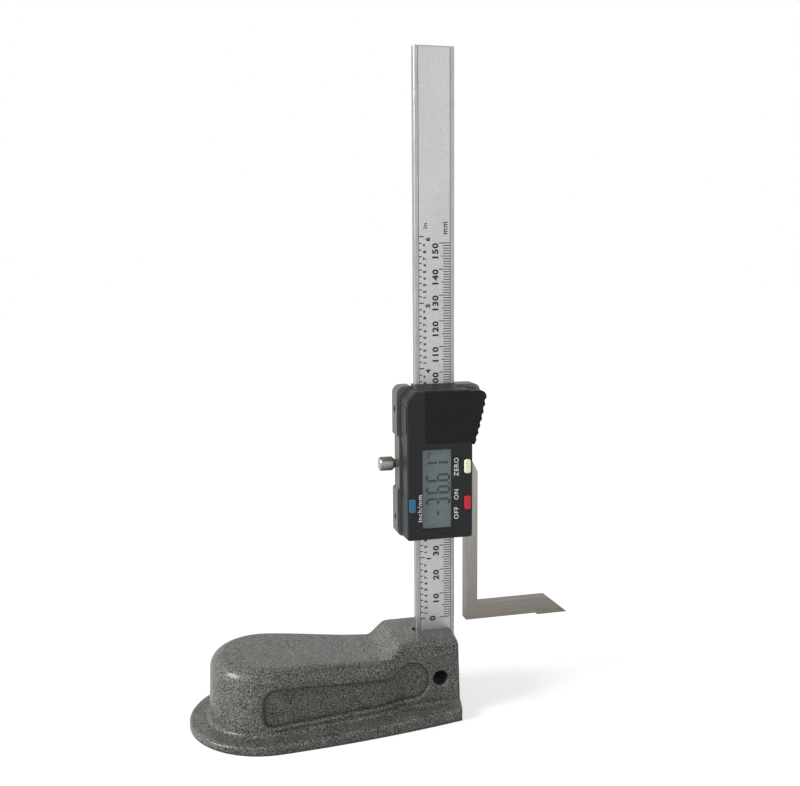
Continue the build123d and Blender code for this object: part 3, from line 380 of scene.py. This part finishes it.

# Darker and browner towards the bottom, lighter towards the top.
tall = add_node(tool_steel, "ShaderNodeMapRange",
                {"From Min": DARKER_BELOW_MM * MM, "From Max": LIGHTER_ABOVE_MM * MM,
                 "To Min": 0.0, "To Max": 1.0},
                {"Value": spot.outputs["Z"]})
lower_tone = add_node(tool_steel, "ShaderNodeValToRGB",
                 {"stops": [(0.35, paint("#6f6b64")), (0.65, paint("#7d7871"))]},
                 {"Fac": scratches.outputs[0]})
upper_tone = add_node(tool_steel, "ShaderNodeValToRGB",
                 {"stops": [(0.35, paint("#93908a")), (0.65, paint("#a5a19b"))]},
                 {"Fac": scratches.outputs[0]})
tone = add_node(tool_steel, "ShaderNodeMix", {"data_type": "RGBA"},
                {0: tall.outputs["Result"], 6: lower_tone.outputs["Color"], 7: upper_tone.outputs["Color"]})
bump = add_node(tool_steel, "ShaderNodeBump",
                {"Strength": 0.25, "Distance": SCRATCH_DEPTH_MM * MM},
                {"Height": scratches.outputs[0]})
metal = add_node(tool_steel, "ShaderNodeBsdfPrincipled", {"Metallic": 0.85, "Roughness": 0.42},
                 {"Base Color": tone.outputs[2], "Normal": bump.outputs["Normal"]})
add_node(tool_steel, "ShaderNodeOutputMaterial", links={"Surface": metal.outputs["BSDF"]})
coat(tool_steel, "scriber")
print("scriber:", tool_steel.name)

# %% [markdown]
# ## Slider frame
# The frame of the head is stainless steel, blasted with glass beads to a soft, even grey
# that doesn't dazzle. The beads leave dents of about 0.1 mm. They are drawn at 0.3 mm, so
# that they still show as a fine grain, with more relief than a ground face has.
# %% Blasted steel
BEAD_MM = 0.3

beads = (BEAD_MM, BEAD_MM, BEAD_MM)
blasted = ground_steel("bead_blasted_steel", "#585856", "#6b6a67", beads, 0.42, 0.55, 0.5)
coat(blasted, "slider_frame")
print("frame:", blasted.name)

# %% [markdown]
# ## Small metal pieces
# Screws, tip, gib and contacts each take the same recipe with their own metal. A real
# coating or rolling grain is too fine to see here, so the grains are drawn at 0.25 to
# 0.5 mm across. What differs to the eye is colour and gloss, and these are kept far
# enough apart to tell the metals from each other.
# %% Small metals
# Nickel plating: warm, smooth and bright, with the clearest highlights on the head.
plated = ground_steel("nickel_plated_steel", "#7b7670", "#99958f", (0.5, 0.25, 0.25), 0.2, 0.34)
coat(plated, "lock_screw", "battery_cell", "dome_switches")
# Black oxide: a thin dark conversion layer, silky and nearly colourless.
blackened = ground_steel("black_oxide_steel", "#1f1e1e", "#343332", beads, 0.35, 0.5)
coat(blackened, "clamp_screw", "gib_screws", "scriber_screws", "cover_screws")
# Hard metal: diamond-ground carbide, denser and browner than steel.
carbide = ground_steel("ground_carbide", "#6a665f", "#77726b", (6.0, 0.3, 0.3), 0.25, 0.36)
coat(carbide, "carbide_tip")
# Rolled bronze strip: reddish yellow with long faint streaks.
bronze = ground_steel("rolled_bronze", "#8a6f3d", "#a58750", (0.4, 0.4, 8.0), 0.3, 0.42)
coat(bronze, "gib_strip")
# Spring brass: paler than the bronze and glossier, since it isn't worn.
brass = ground_steel("sprung_brass", "#a08a55", "#c3ad74", (0.4, 0.4, 5.0), 0.22, 0.34)
coat(brass, "negative_contact", "positive_contact")
print("metals:", plated.name, blackened.name, carbide.name, bronze.name, brass.name)

# %% [markdown]
# ## Printed scale foil
# The scale is printed on a satin silver foil that is glued over the electrodes. Seen close
# up it is a soft, almost grainless metal with a faint speckle from its matt varnish. One
# noise makes the speckle and a broad one lets the tone drift along the strip.
# %% Scale foil
SPECKLE_MM = 0.5
DRIFT_MM = 25.0
DRIFT_SHARE = 0.4
VARNISH_DEPTH_MM = 0.02

foil = new_finish("satin_silver_foil")
place = add_node(foil, "ShaderNodeTexCoord")
speckle = add_node(foil, "ShaderNodeTexNoise", {"Scale": per_mm(SPECKLE_MM), "Detail": 3.0},
                   {"Vector": place.outputs["Object"]})
drift = add_node(foil, "ShaderNodeTexNoise", {"Scale": per_mm(DRIFT_MM), "Detail": 1.0},
                 {"Vector": place.outputs["Object"]})
both = add_node(foil, "ShaderNodeMath", {"operation": "MULTIPLY_ADD", 1: DRIFT_SHARE},
                {0: drift.outputs["Fac"], 2: speckle.outputs["Fac"]})
shade = add_node(foil, "ShaderNodeValToRGB",
                 {"stops": [(0.5, paint("#acacad")), (0.9, paint("#bbbbbb"))]},
                 {"Fac": both.outputs[0]})
varnish = add_node(foil, "ShaderNodeBump",
                   {"Strength": 0.1, "Distance": VARNISH_DEPTH_MM * MM},
                   {"Height": speckle.outputs["Fac"]})
silver = add_node(foil, "ShaderNodeBsdfPrincipled", {"Metallic": 0.8, "Roughness": 0.45},
                  {"Base Color": shade.outputs["Color"], "Normal": varnish.outputs["Normal"]})
add_node(foil, "ShaderNodeOutputMaterial", links={"Surface": silver.outputs["BSDF"]})
coat(foil, "scale_label")
print("foil:", foil.name)

# %% [markdown]
# ## Moulded plastics
# A moulding copies its mould: a spark-eroded one leaves a fine matt grain, a polished one
# a gloss. One recipe makes them all: a coloured body, a grain that varies colour and
# roughness, and a specular level that is lower for the matt mouldings. Modelling the grain
# would cost millions of faces for dents of a few hundredths of a millimetre.
# %% Moulded plastic
GRAIN_DEPTH_MM = 0.03
GRAIN_ROUGHENS = 0.12


def moulded(name, dark, light, grain_mm, rough, gloss, relief=0.2):
    """Injection-moulded plastic with the mould's own grain."""
    finish = new_finish(name)
    place = add_node(finish, "ShaderNodeTexCoord")
    grain = add_node(finish, "ShaderNodeTexNoise",
                     {"Scale": per_mm(grain_mm), "Detail": 3.0, "Roughness": 0.6},
                     {"Vector": place.outputs["Object"]})
    shade = add_node(finish, "ShaderNodeValToRGB",
                     {"stops": [(0.35, paint(dark)), (0.65, paint(light))]},
                     {"Fac": grain.outputs["Fac"]})
    sheen = add_node(finish, "ShaderNodeMapRange",
                     {"From Min": 0.3, "From Max": 0.7,
                      "To Min": rough, "To Max": rough + GRAIN_ROUGHENS},
                     {"Value": grain.outputs["Fac"]})
    bump = add_node(finish, "ShaderNodeBump",
                    {"Strength": relief, "Distance": GRAIN_DEPTH_MM * MM},
                    {"Height": grain.outputs["Fac"]})
    body = add_node(finish, "ShaderNodeBsdfPrincipled", {"Specular IOR Level": gloss},
                    {"Base Color": shade.outputs["Color"], "Roughness": sheen.outputs["Result"],
                     "Normal": bump.outputs["Normal"]})
    add_node(finish, "ShaderNodeOutputMaterial", links={"Surface": body.outputs["BSDF"]})
    return finish


print("mould grain depth in mm:", GRAIN_DEPTH_MM)

# %% [markdown]
# ## Housing and keys
# The display housing is black ABS from a finely eroded mould, and its battery cover comes
# from a coarser one, so it looks a shade darker. Both grains are near 0.1 mm in truth and
# drawn at about half a millimetre. The keys are glossier, in clear signal colours, so they
# stand out from the dark housing.
# %% Housing and key plastics
# Black ABS, finely grained: a dark grey to the eye, since its matt face scatters light.
abs_black = moulded("black_abs", "#202123", "#2a2b2d", 0.4, 0.42, 0.18)
coat(abs_black, "front_cover", "port_cover")
# The same ABS, coarsely grained: nearly black, without any clear highlight.
abs_grained = moulded("grained_black_abs", "#181a1c", "#222426", 0.55, 0.5, 0.12, 0.45)
coat(abs_grained, "battery_cover")
# Polished acetal keys: full colour with a soft gloss on the rounded edge.
key_blue = moulded("blue_key_plastic", "#2a6483", "#337295", 0.8, 0.32, 0.4)
coat(key_blue, "inch_mm_button")
key_red = moulded("red_key_plastic", "#c4232c", "#d22d37", 0.8, 0.32, 0.4)
coat(key_red, "on_off_button")
key_yellow = moulded("yellow_key_plastic", "#fffdd2", "#fffedf", 0.8, 0.32, 0.4)
coat(key_yellow, "zero_button")
print("plastics:", abs_black.name, abs_grained.name, key_blue.name, key_red.name, key_yellow.name)

# %% [markdown]
# ## Board, strip and rubber
# These lie inside the head and in the beam's groove, and are seen only when a cover is
# off. They aren't moulded, but the same recipe fits them, since each is a coloured body
# with a fine grain.
# %% Inner plastics
# Solder mask over copper: deep green and half glossy.
laminate = moulded("green_solder_mask", "#0f4a20", "#1a5c2b", 1.5, 0.35, 0.5)
coat(laminate, "circuit_board")
# Bare glass-fibre laminate: a dull yellow green, with the weave only hinted at.
glass_fibre = moulded("glass_fibre_laminate", "#5f7a3a", "#7b9450", 0.8, 0.45, 0.4)
coat(glass_fibre, "encoder_strip")
# Layered silicone rubber: dull pink brown, where dark and clear layers blend to the eye.
zebra = moulded("conductive_rubber", "#6d4a4a", "#8c6060", 0.4, 0.6, 0.3)
coat(zebra, "elastomer_strips")
print("inside:", laminate.name, glass_fibre.name, zebra.name)

# %% [markdown]
# ## Display
# A reflective liquid-crystal panel is a sandwich of glass and polariser over a matt
# aluminium foil. Switched on, it looks grey-blue, and its digits are only somewhat darker
# than the ground. A thin acrylic window lies over it. Full refraction through less than a
# millimetre would only cost time and shut the light out, so the window is a mostly
# see-through sheet, and a faint haze of dust and wear keeps it from vanishing.
# %% Display panel and window
DUST_MM = 1.2

lcd = moulded("liquid_crystal_panel", "#7d898b", "#889496", 0.9, 0.3, 0.35, 0.05)
coat(lcd, "lcd_panel")

window = new_finish("clear_acrylic")
place = add_node(window, "ShaderNodeTexCoord")
dust = add_node(window, "ShaderNodeTexNoise", {"Scale": per_mm(DUST_MM), "Detail": 4.0},
                {"Vector": place.outputs["Object"]})
haze = add_node(window, "ShaderNodeMapRange",
                {"From Min": 0.3, "From Max": 0.75, "To Min": 0.06, "To Max": 0.14},
                {"Value": dust.outputs["Fac"]})
sheet = add_node(window, "ShaderNodeBsdfPrincipled",
                 {"Base Color": paint("#5c666c"), "Roughness": 0.12, "IOR": 1.49},
                 {"Alpha": haze.outputs["Result"]})
add_node(window, "ShaderNodeOutputMaterial", links={"Surface": sheet.outputs["BSDF"]})
coat(window, "lcd_window")
print("display:", lcd.name, window.name)

# %% [markdown]
# ## Inks
# Ink lies on its ground as a film a few hundredths of a millimetre thick. An image could
# carry it, but real geometry stays sharp at any distance and moves with its part. Black
# ink is for the foil and white ink for the housing. The third finish is the dark state of
# the liquid crystal, which is no ink but is drawn in the same way.
# %% Inks
INK_MM = 0.02

# Matt screen-printing inks: flat and even, slightly softer than pure black and white.
ink_black = moulded("black_printing_ink", "#1c1d1e", "#29292b", 0.3, 0.5, 0.3)
ink_white = moulded("white_printing_ink", "#e6e6e4", "#f0f0ee", 0.3, 0.5, 0.3)
# A switched segment: slate blue, a few steps under the panel's own tone.
ink_digit = moulded("switched_liquid_crystal", "#3f4a52", "#4a565e", 0.6, 0.35, 0.3)
print("inks:", ink_black.name, ink_white.name, ink_digit.name)

# %% [markdown]
# ## A slab of ink
# Each tick of the scale is a thin box. Adding a cube object for each would give hundreds
# of objects, so the boxes are gathered in one bmesh, Blender's editable mesh, as eight
# corners and six faces at a time.
# %% Ink slab
def face_slab(mesh, x0, x1, z0, z1, face_y):
    """A thin slab of ink that stands on a face looking along -Y; numbers in mm."""
    corners = [Vector((x * MM, y * MM, z * MM))
               for y in (face_y - INK_MM, face_y)
               for x, z in ((x0, z0), (x1, z0), (x1, z1), (x0, z1))]
    verts = [mesh.verts.new(c) for c in corners]
    for ring in ((0, 1, 2, 3), (7, 6, 5, 4), (0, 4, 5, 1),
                 (1, 5, 6, 2), (2, 6, 7, 3), (3, 7, 4, 0)):
        mesh.faces.new([verts[i] for i in ring])


print("ink film in mm:", INK_MM)

# %% [markdown]
# ## Printed words and figures
# A text curve draws the letters, and Blender turns it into a mesh. Its points are then
# moved by hand arithmetic: up the page becomes leftwards across the beam, and along the
# line becomes upwards. That fits the height of the letters between two X exactly, which a
# turned and scaled text object would only do by trial.
# %% Rising text
BROAD = 1.22            # the scale's figures are broader than the font draws them
BOLD = 0.04             # extra stroke, as part of the letter size
SPACED = 1.12           # letter spacing
TEXT_HALF = 0.5         # half thickness of the raw text, before it is pressed to a film
CURVE_STEPS = 3


def rising_text(mesh, words, face_y, x_span, low=None, top=None, weight=BOLD):
    """Text that reads upwards between two X; low, top or both set where it runs, in mm."""
    letters = bpy.data.curves.new("letters", "FONT")
    letters.body = words
    letters.resolution_u = CURVE_STEPS
    letters.offset = weight
    letters.extrude = TEXT_HALF
    letters.space_character = SPACED
    carrier = bpy.data.objects.new("letters", letters)
    drawn = bpy.data.meshes.new_from_object(carrier)
    start, end = min(v.co.x for v in drawn.vertices), max(v.co.x for v in drawn.vertices)
    foot, head = min(v.co.y for v in drawn.vertices), max(v.co.y for v in drawn.vertices)
    left_x, right_x = x_span
    tall = (right_x - left_x) / (head - foot)
    wide = tall * BROAD if low is None or top is None else (top - low) / (end - start)
    first = top - (end - start) * wide if low is None else low
    for v in drawn.vertices:
        x, y, z = v.co
        v.co = ((right_x - (y - foot) * tall) * MM,
                (face_y - (z + TEXT_HALF) * INK_MM) * MM,
                (first + (x - start) * wide) * MM)
    mesh.from_mesh(drawn)
    bpy.data.meshes.remove(drawn)
    bpy.data.objects.remove(carrier)
    bpy.data.curves.remove(letters)


print("figures are broadened by", BROAD)

# %% [markdown]
# ## From gathered ink to a piece
# The gathered mesh becomes one object. It rides on the part that it is printed on, so that
# it slides along with the head or stays with the beam, and it carries its own ink.
# %% Finish a print
def finish_print(mesh, name, ink, body, slot):
    """Turn the gathered ink into one piece that rides on its part."""
    bmesh.ops.recalc_face_normals(mesh, faces=mesh.faces)
    data = bpy.data.meshes.new(name)
    mesh.to_mesh(data)
    mesh.free()
    data.materials.append(ink)
    piece = bpy.data.objects.new(name, data)
    bpy.context.scene.collection.objects.link(piece)
    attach(piece, body)
    print(name, "faces:", len(data.polygons))


print("print helper:", finish_print.__name__)

# %% [markdown]
# ## Millimetre ticks
# The millimetre ticks stand along the right edge: a short line each millimetre, a longer
# one each five, the longest each ten. An Array modifier could repeat them, but the three
# lengths are easier to read as one loop with a small table.
# %% Millimetre ticks
SCALE_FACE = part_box("scale_label")[0].y / MM
SCALE_ZERO = 35.0       # height of the zero tick
SCALE_END = 150
TICK_W = 0.33
TICK_END_X = 6.15
TICK_START_X = {10: 1.75, 5: 2.75, 1: 3.5}

ticks = bmesh.new()
for value in range(0, SCALE_END + 1):
    step = 10 if value % 10 == 0 else 5 if value % 5 == 0 else 1
    z = SCALE_ZERO + value
    face_slab(ticks, TICK_START_X[step], TICK_END_X, z - TICK_W / 2, z + TICK_W / 2, SCALE_FACE)
finish_print(ticks, "millimetre_ticks", ink_black, "stand", "scale_foil")

# %% [markdown]
# ## Millimetre figures
# The figures read upwards and end at their tick, as they are read with the head on its
# side. The zero is the exception: it stands a little further left and higher, clear of the
# base. The unit stands above the last figure.
# %% Millimetre figures
FIGURE_X = (-0.95, 1.6)
FIGURE_GAP = 0.05
ZERO_SHIFT = -1.45
ZERO_RISE = 0.8
UNIT_X = (3.7, 5.25)
UNIT_Z = (188.3, 193.0)
UNIT_WEIGHT = 0.02

figures = bmesh.new()
for value in range(0, SCALE_END + 1, 10):
    top = SCALE_ZERO + value - FIGURE_GAP + (0.0 if value else ZERO_RISE)
    shift_x = 0.0 if value else ZERO_SHIFT
    across = (FIGURE_X[0] + shift_x, FIGURE_X[1] + shift_x)
    rising_text(figures, str(value), SCALE_FACE, across, top=top)
rising_text(figures, "mm", SCALE_FACE, UNIT_X, *UNIT_Z, UNIT_WEIGHT)
finish_print(figures, "millimetre_figures", ink_black, "stand", "scale_foil")

# %% [markdown]
# ## Inch scale
# The inch ticks stand along the left edge, ten to the inch, each numbered with a tiny
# figure just under its tick. Whole inches have a longer tick and a larger figure. Ticks
# and figures are gathered in one loop, because both take their height from the same tenth.
# %% Inch ticks and figures
INCH = 25.4
SCALE_INCHES = 6
INCH_START_X = -6.15
INCH_TICK_W = 0.42
INCH_TENTH_X = -5.15
INCH_WHOLE_X = -4.3
WHOLE_X = (-3.65, -1.75)
WHOLE_GAP = 0.3
WHOLE_WEIGHT = 0.05
TENTH_X = (-4.6, -3.35)
TENTH_GAP = 0.2
TENTH_WEIGHT = 0.06
INCH_UNIT_X = (-4.5, -2.95)
INCH_UNIT_Z = (190.5, 192.5)

ticks = bmesh.new()
figures = bmesh.new()
for tenth in range(0, SCALE_INCHES * 10 + 1):
    z = SCALE_ZERO + tenth * INCH / 10
    whole = tenth % 10 == 0
    end_x = INCH_WHOLE_X if whole else INCH_TENTH_X
    low_z, high_z = z - INCH_TICK_W / 2, z + INCH_TICK_W / 2
    face_slab(ticks, INCH_START_X, end_x, low_z, high_z, SCALE_FACE)
    if whole and tenth:
        rising_text(figures, str(tenth // 10), SCALE_FACE, WHOLE_X,
                    top=z - WHOLE_GAP, weight=WHOLE_WEIGHT)
    elif tenth:
        rising_text(figures, str(tenth % 10), SCALE_FACE, TENTH_X,
                    top=z - TENTH_GAP, weight=TENTH_WEIGHT)
rising_text(figures, "in", SCALE_FACE, INCH_UNIT_X, *INCH_UNIT_Z, UNIT_WEIGHT)
finish_print(ticks, "inch_ticks", ink_black, "stand", "scale_foil")
finish_print(figures, "inch_figures", ink_black, "stand", "scale_foil")

# %% [markdown]
# ## Key legends
# The three keys are named in white beside them: the unit key on the left, and the on/off
# and zero keys on the right. They read upwards like the scale. Both ends of each word are
# given, so its width is fitted and not the font's own.
# %% Legends on the housing
COVER_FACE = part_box("front_cover")[0].y / MM
LEGEND_WEIGHT = 0.012
RIGHT_LEGENDS_X = (4.35, 6.2)
LEGENDS = (("inch/mm", (-10.3, -8.45), 78.4, 89.0),
           ("ZERO", RIGHT_LEGENDS_X, 95.6, 102.9),
           ("ON", RIGHT_LEGENDS_X, 86.3, 90.4),
           ("OFF", RIGHT_LEGENDS_X, 78.6, 83.4))

legends = bmesh.new()
for words, across, low, top in LEGENDS:
    rising_text(legends, words, COVER_FACE, across, low, top, LEGEND_WEIGHT)
finish_print(legends, "key_legends", ink_white, "head", "black_plastic")

# %% [markdown]
# ## A segment of the display
# The digits of a liquid-crystal display are made of seven segments with small gaps. Each
# segment is a slab with pointed ends. It is drawn once along any line, by steps along and
# across that line, so the same function makes lying and standing segments.
# %% One segment
LCD_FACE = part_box("lcd_panel")[0].y / MM
SEGMENT_W = 1.0
SEGMENT_GAP = 0.12


def segment(mesh, start, end):
    """One pointed segment between two points given as (x, z) in mm."""
    (x0, z0), (x1, z1) = start, end
    length = math.hypot(x1 - x0, z1 - z0)
    ux, uz = (x1 - x0) / length, (z1 - z0) / length
    half = SEGMENT_W / 2
    first, last = SEGMENT_GAP, length - SEGMENT_GAP
    steps = ((first, 0), (first + half, half), (last - half, half),
             (last, 0), (last - half, -half), (first + half, -half))
    outline = [(x0 + ux * along - uz * across, z0 + uz * along + ux * across)
               for along, across in steps]
    front = [mesh.verts.new((x * MM, (LCD_FACE - INK_MM) * MM, z * MM)) for x, z in outline]
    back = [mesh.verts.new((x * MM, LCD_FACE * MM, z * MM)) for x, z in outline]
    mesh.faces.new(front)
    mesh.faces.new(back[::-1])
    for i in range(len(outline)):
        j = (i + 1) % len(outline)
        mesh.faces.new((front[i], back[i], back[j], front[j]))


print("segments are", SEGMENT_W, "mm wide")

# %% [markdown]
# ## Reading on the display
# The table says which segments a sign switches on, in the usual order: top, upper right,
# lower right, bottom, lower left, upper left, middle. A font could draw the reading, but
# its digits wouldn't have the gaps and the points. The reading rides on the head, and it
# stays the same wherever the head stands.
# %% Seven-segment reading
DIGIT_TOP_X = -6.7
DIGIT_FOOT_X = 3.2
DIGIT_W = 3.4
SEGMENTS = {"1": "0110000", "3": "1111001", "6": "1011111", "-": "0000001"}
READING = (("-", 79.35), ("3", 83.85), ("6", 88.75), ("6", 93.5), ("1", 98.2))
POINT_Z = (92.5, 93.2)
DISPLAY_UNIT_X = (-6.2, -4.6)
DISPLAY_UNIT_Z = (103.0, 105.4)
DISPLAY_UNIT_WEIGHT = 0.01

reading = bmesh.new()
half = SEGMENT_W / 2
top_x, foot_x = DIGIT_TOP_X + half, DIGIT_FOOT_X - half
mid_x = (top_x + foot_x) / 2
for sign, low in READING:
    left_z, right_z = low + half, low + DIGIT_W - half
    runs = (((top_x, left_z), (top_x, right_z)), ((top_x, right_z), (mid_x, right_z)),
            ((mid_x, right_z), (foot_x, right_z)), ((foot_x, left_z), (foot_x, right_z)),
            ((mid_x, left_z), (foot_x, left_z)), ((top_x, left_z), (mid_x, left_z)),
            ((mid_x, left_z), (mid_x, right_z)))
    for switched, (start, end) in zip(SEGMENTS[sign], runs):
        if switched == "1":
            segment(reading, start, end)
face_slab(reading, foot_x - half, foot_x + half, *POINT_Z, LCD_FACE)
rising_text(reading, "mm", LCD_FACE, DISPLAY_UNIT_X, *DISPLAY_UNIT_Z, DISPLAY_UNIT_WEIGHT)
finish_print(reading, "display_digits", ink_digit, "head", "lcd_glass")

# %% [markdown]
# ## Studio sky
# The gauge stands in a white light tent. More light would turn the ground white but would
# also bleach the gauge. So the Light Path node tells apart who looks: the sky is plain
# white to the camera, in a mirror image and through clear glass, and dimmer where it only
# lights things, so that the lamps can model the forms.
# %% Sky
SKY_LIGHT = 0.42


def seen_directly(finish):
    """1 where the camera, a mirror image or clear glass shows it, 0 where it only lights."""
    rays = add_node(finish, "ShaderNodeLightPath")
    seen = add_node(finish, "ShaderNodeMath", {"operation": "MAXIMUM"},
                    {0: rays.outputs["Is Camera Ray"], 1: rays.outputs["Is Glossy Ray"]})
    seen = add_node(finish, "ShaderNodeMath", {"operation": "MAXIMUM"},
                    {0: seen.outputs[0], 1: rays.outputs["Is Transmission Ray"]})
    return seen.outputs[0]


world = bpy.data.worlds.new("light_tent")
bpy.context.scene.world = world
world.use_nodes = True
world.node_tree.nodes.clear()
level = add_node(world, "ShaderNodeMapRange", {"To Min": SKY_LIGHT, "To Max": 1.0},
                 {"Value": seen_directly(world)})
sky = add_node(world, "ShaderNodeBackground", {"Color": paint("#ffffff")},
               {"Strength": level.outputs["Result"]})
add_node(world, "ShaderNodeOutputWorld", links={"Surface": sky.outputs["Background"]})
print("sky lights the gauge at", SKY_LIGHT)

# %% [markdown]
# ## Lamps
# Two broad suns shape the gauge: a strong key from the left and somewhat above, which
# lights the ramp and the rounded edges of the base, and a weak fill from the front, which
# opens the faces turned to the camera. A small lamp close by would light the floor
# unevenly, and a sun lights it all the same. The wide angle softens the shadow's edge.
# %% Lamps
def soft_sun(name, towards, strength, spread):
    """A sun whose light arrives from the given direction, spread over an angle in degrees."""
    lamp = bpy.data.lights.new(name, "SUN")
    lamp.energy = strength
    lamp.angle = math.radians(spread)
    holder = bpy.data.objects.new(name, lamp)
    holder.rotation_euler = Vector(towards).to_track_quat("Z", "Y").to_euler()
    bpy.context.scene.collection.objects.link(holder)
    print(name, "strength:", strength)


soft_sun("key_lamp", (-0.87, -0.11, 0.46), 4.1, 26)
soft_sun("fill_lamp", (0.2, -0.95, 0.2), 0.5, 60)

# %% [markdown]
# ## Paper of the floor
# Matt white paper carries the gauge's shadow. Its own colour is a light grey under the
# lamps, and a glow that only the camera, mirror images and clear glass see lifts it to
# white. The shadow still shows, because it takes away the lamps' part of the light.
# %% Studio paper
FLOOR_GLOW = 0.66
FIBRE_MM = 3.0

floor_paper = new_finish("white_studio_paper")
place = add_node(floor_paper, "ShaderNodeTexCoord")
fibre = add_node(floor_paper, "ShaderNodeTexNoise", {"Scale": per_mm(FIBRE_MM), "Detail": 3.0},
                 {"Vector": place.outputs["Object"]})
shade = add_node(floor_paper, "ShaderNodeValToRGB",
                 {"stops": [(0.3, paint("#a9a9a9")), (0.7, paint("#aeaeae"))]},
                 {"Fac": fibre.outputs["Fac"]})
glow = add_node(floor_paper, "ShaderNodeMath", {"operation": "MULTIPLY", 1: FLOOR_GLOW},
                {0: seen_directly(floor_paper)})
paper = add_node(floor_paper, "ShaderNodeBsdfPrincipled",
                 {"Roughness": 0.9, "Specular IOR Level": 0.1,
                  "Emission Color": paint("#ffffff")},
                 {"Base Color": shade.outputs["Color"], "Emission Strength": glow.outputs[0]})
add_node(floor_paper, "ShaderNodeOutputMaterial", links={"Surface": paper.outputs["BSDF"]})
print("floor glow:", FLOOR_GLOW)

# %% [markdown]
# ## Floor
# The floor is a round sheet, wide enough that its edge melts into the sky from any side.
# It lies a hair under the foot, so that the two faces don't fight for the same height.
# %% Floor
FLOOR_HALF = 3.0
FLOOR_SIDES = 96
FLOOR_GAP_MM = 0.1

floor_mesh = bmesh.new()
bmesh.ops.create_circle(floor_mesh, cap_ends=True, radius=FLOOR_HALF, segments=FLOOR_SIDES)
floor_data = bpy.data.meshes.new("studio_floor")
floor_mesh.to_mesh(floor_data)
floor_mesh.free()
floor_data.materials.append(floor_paper)
floor = bpy.data.objects.new("studio_floor", floor_data)
floor.location.z = cad_low[2] - FLOOR_GAP_MM * MM
bpy.context.scene.collection.objects.link(floor)
print("floor radius in m:", FLOOR_HALF)
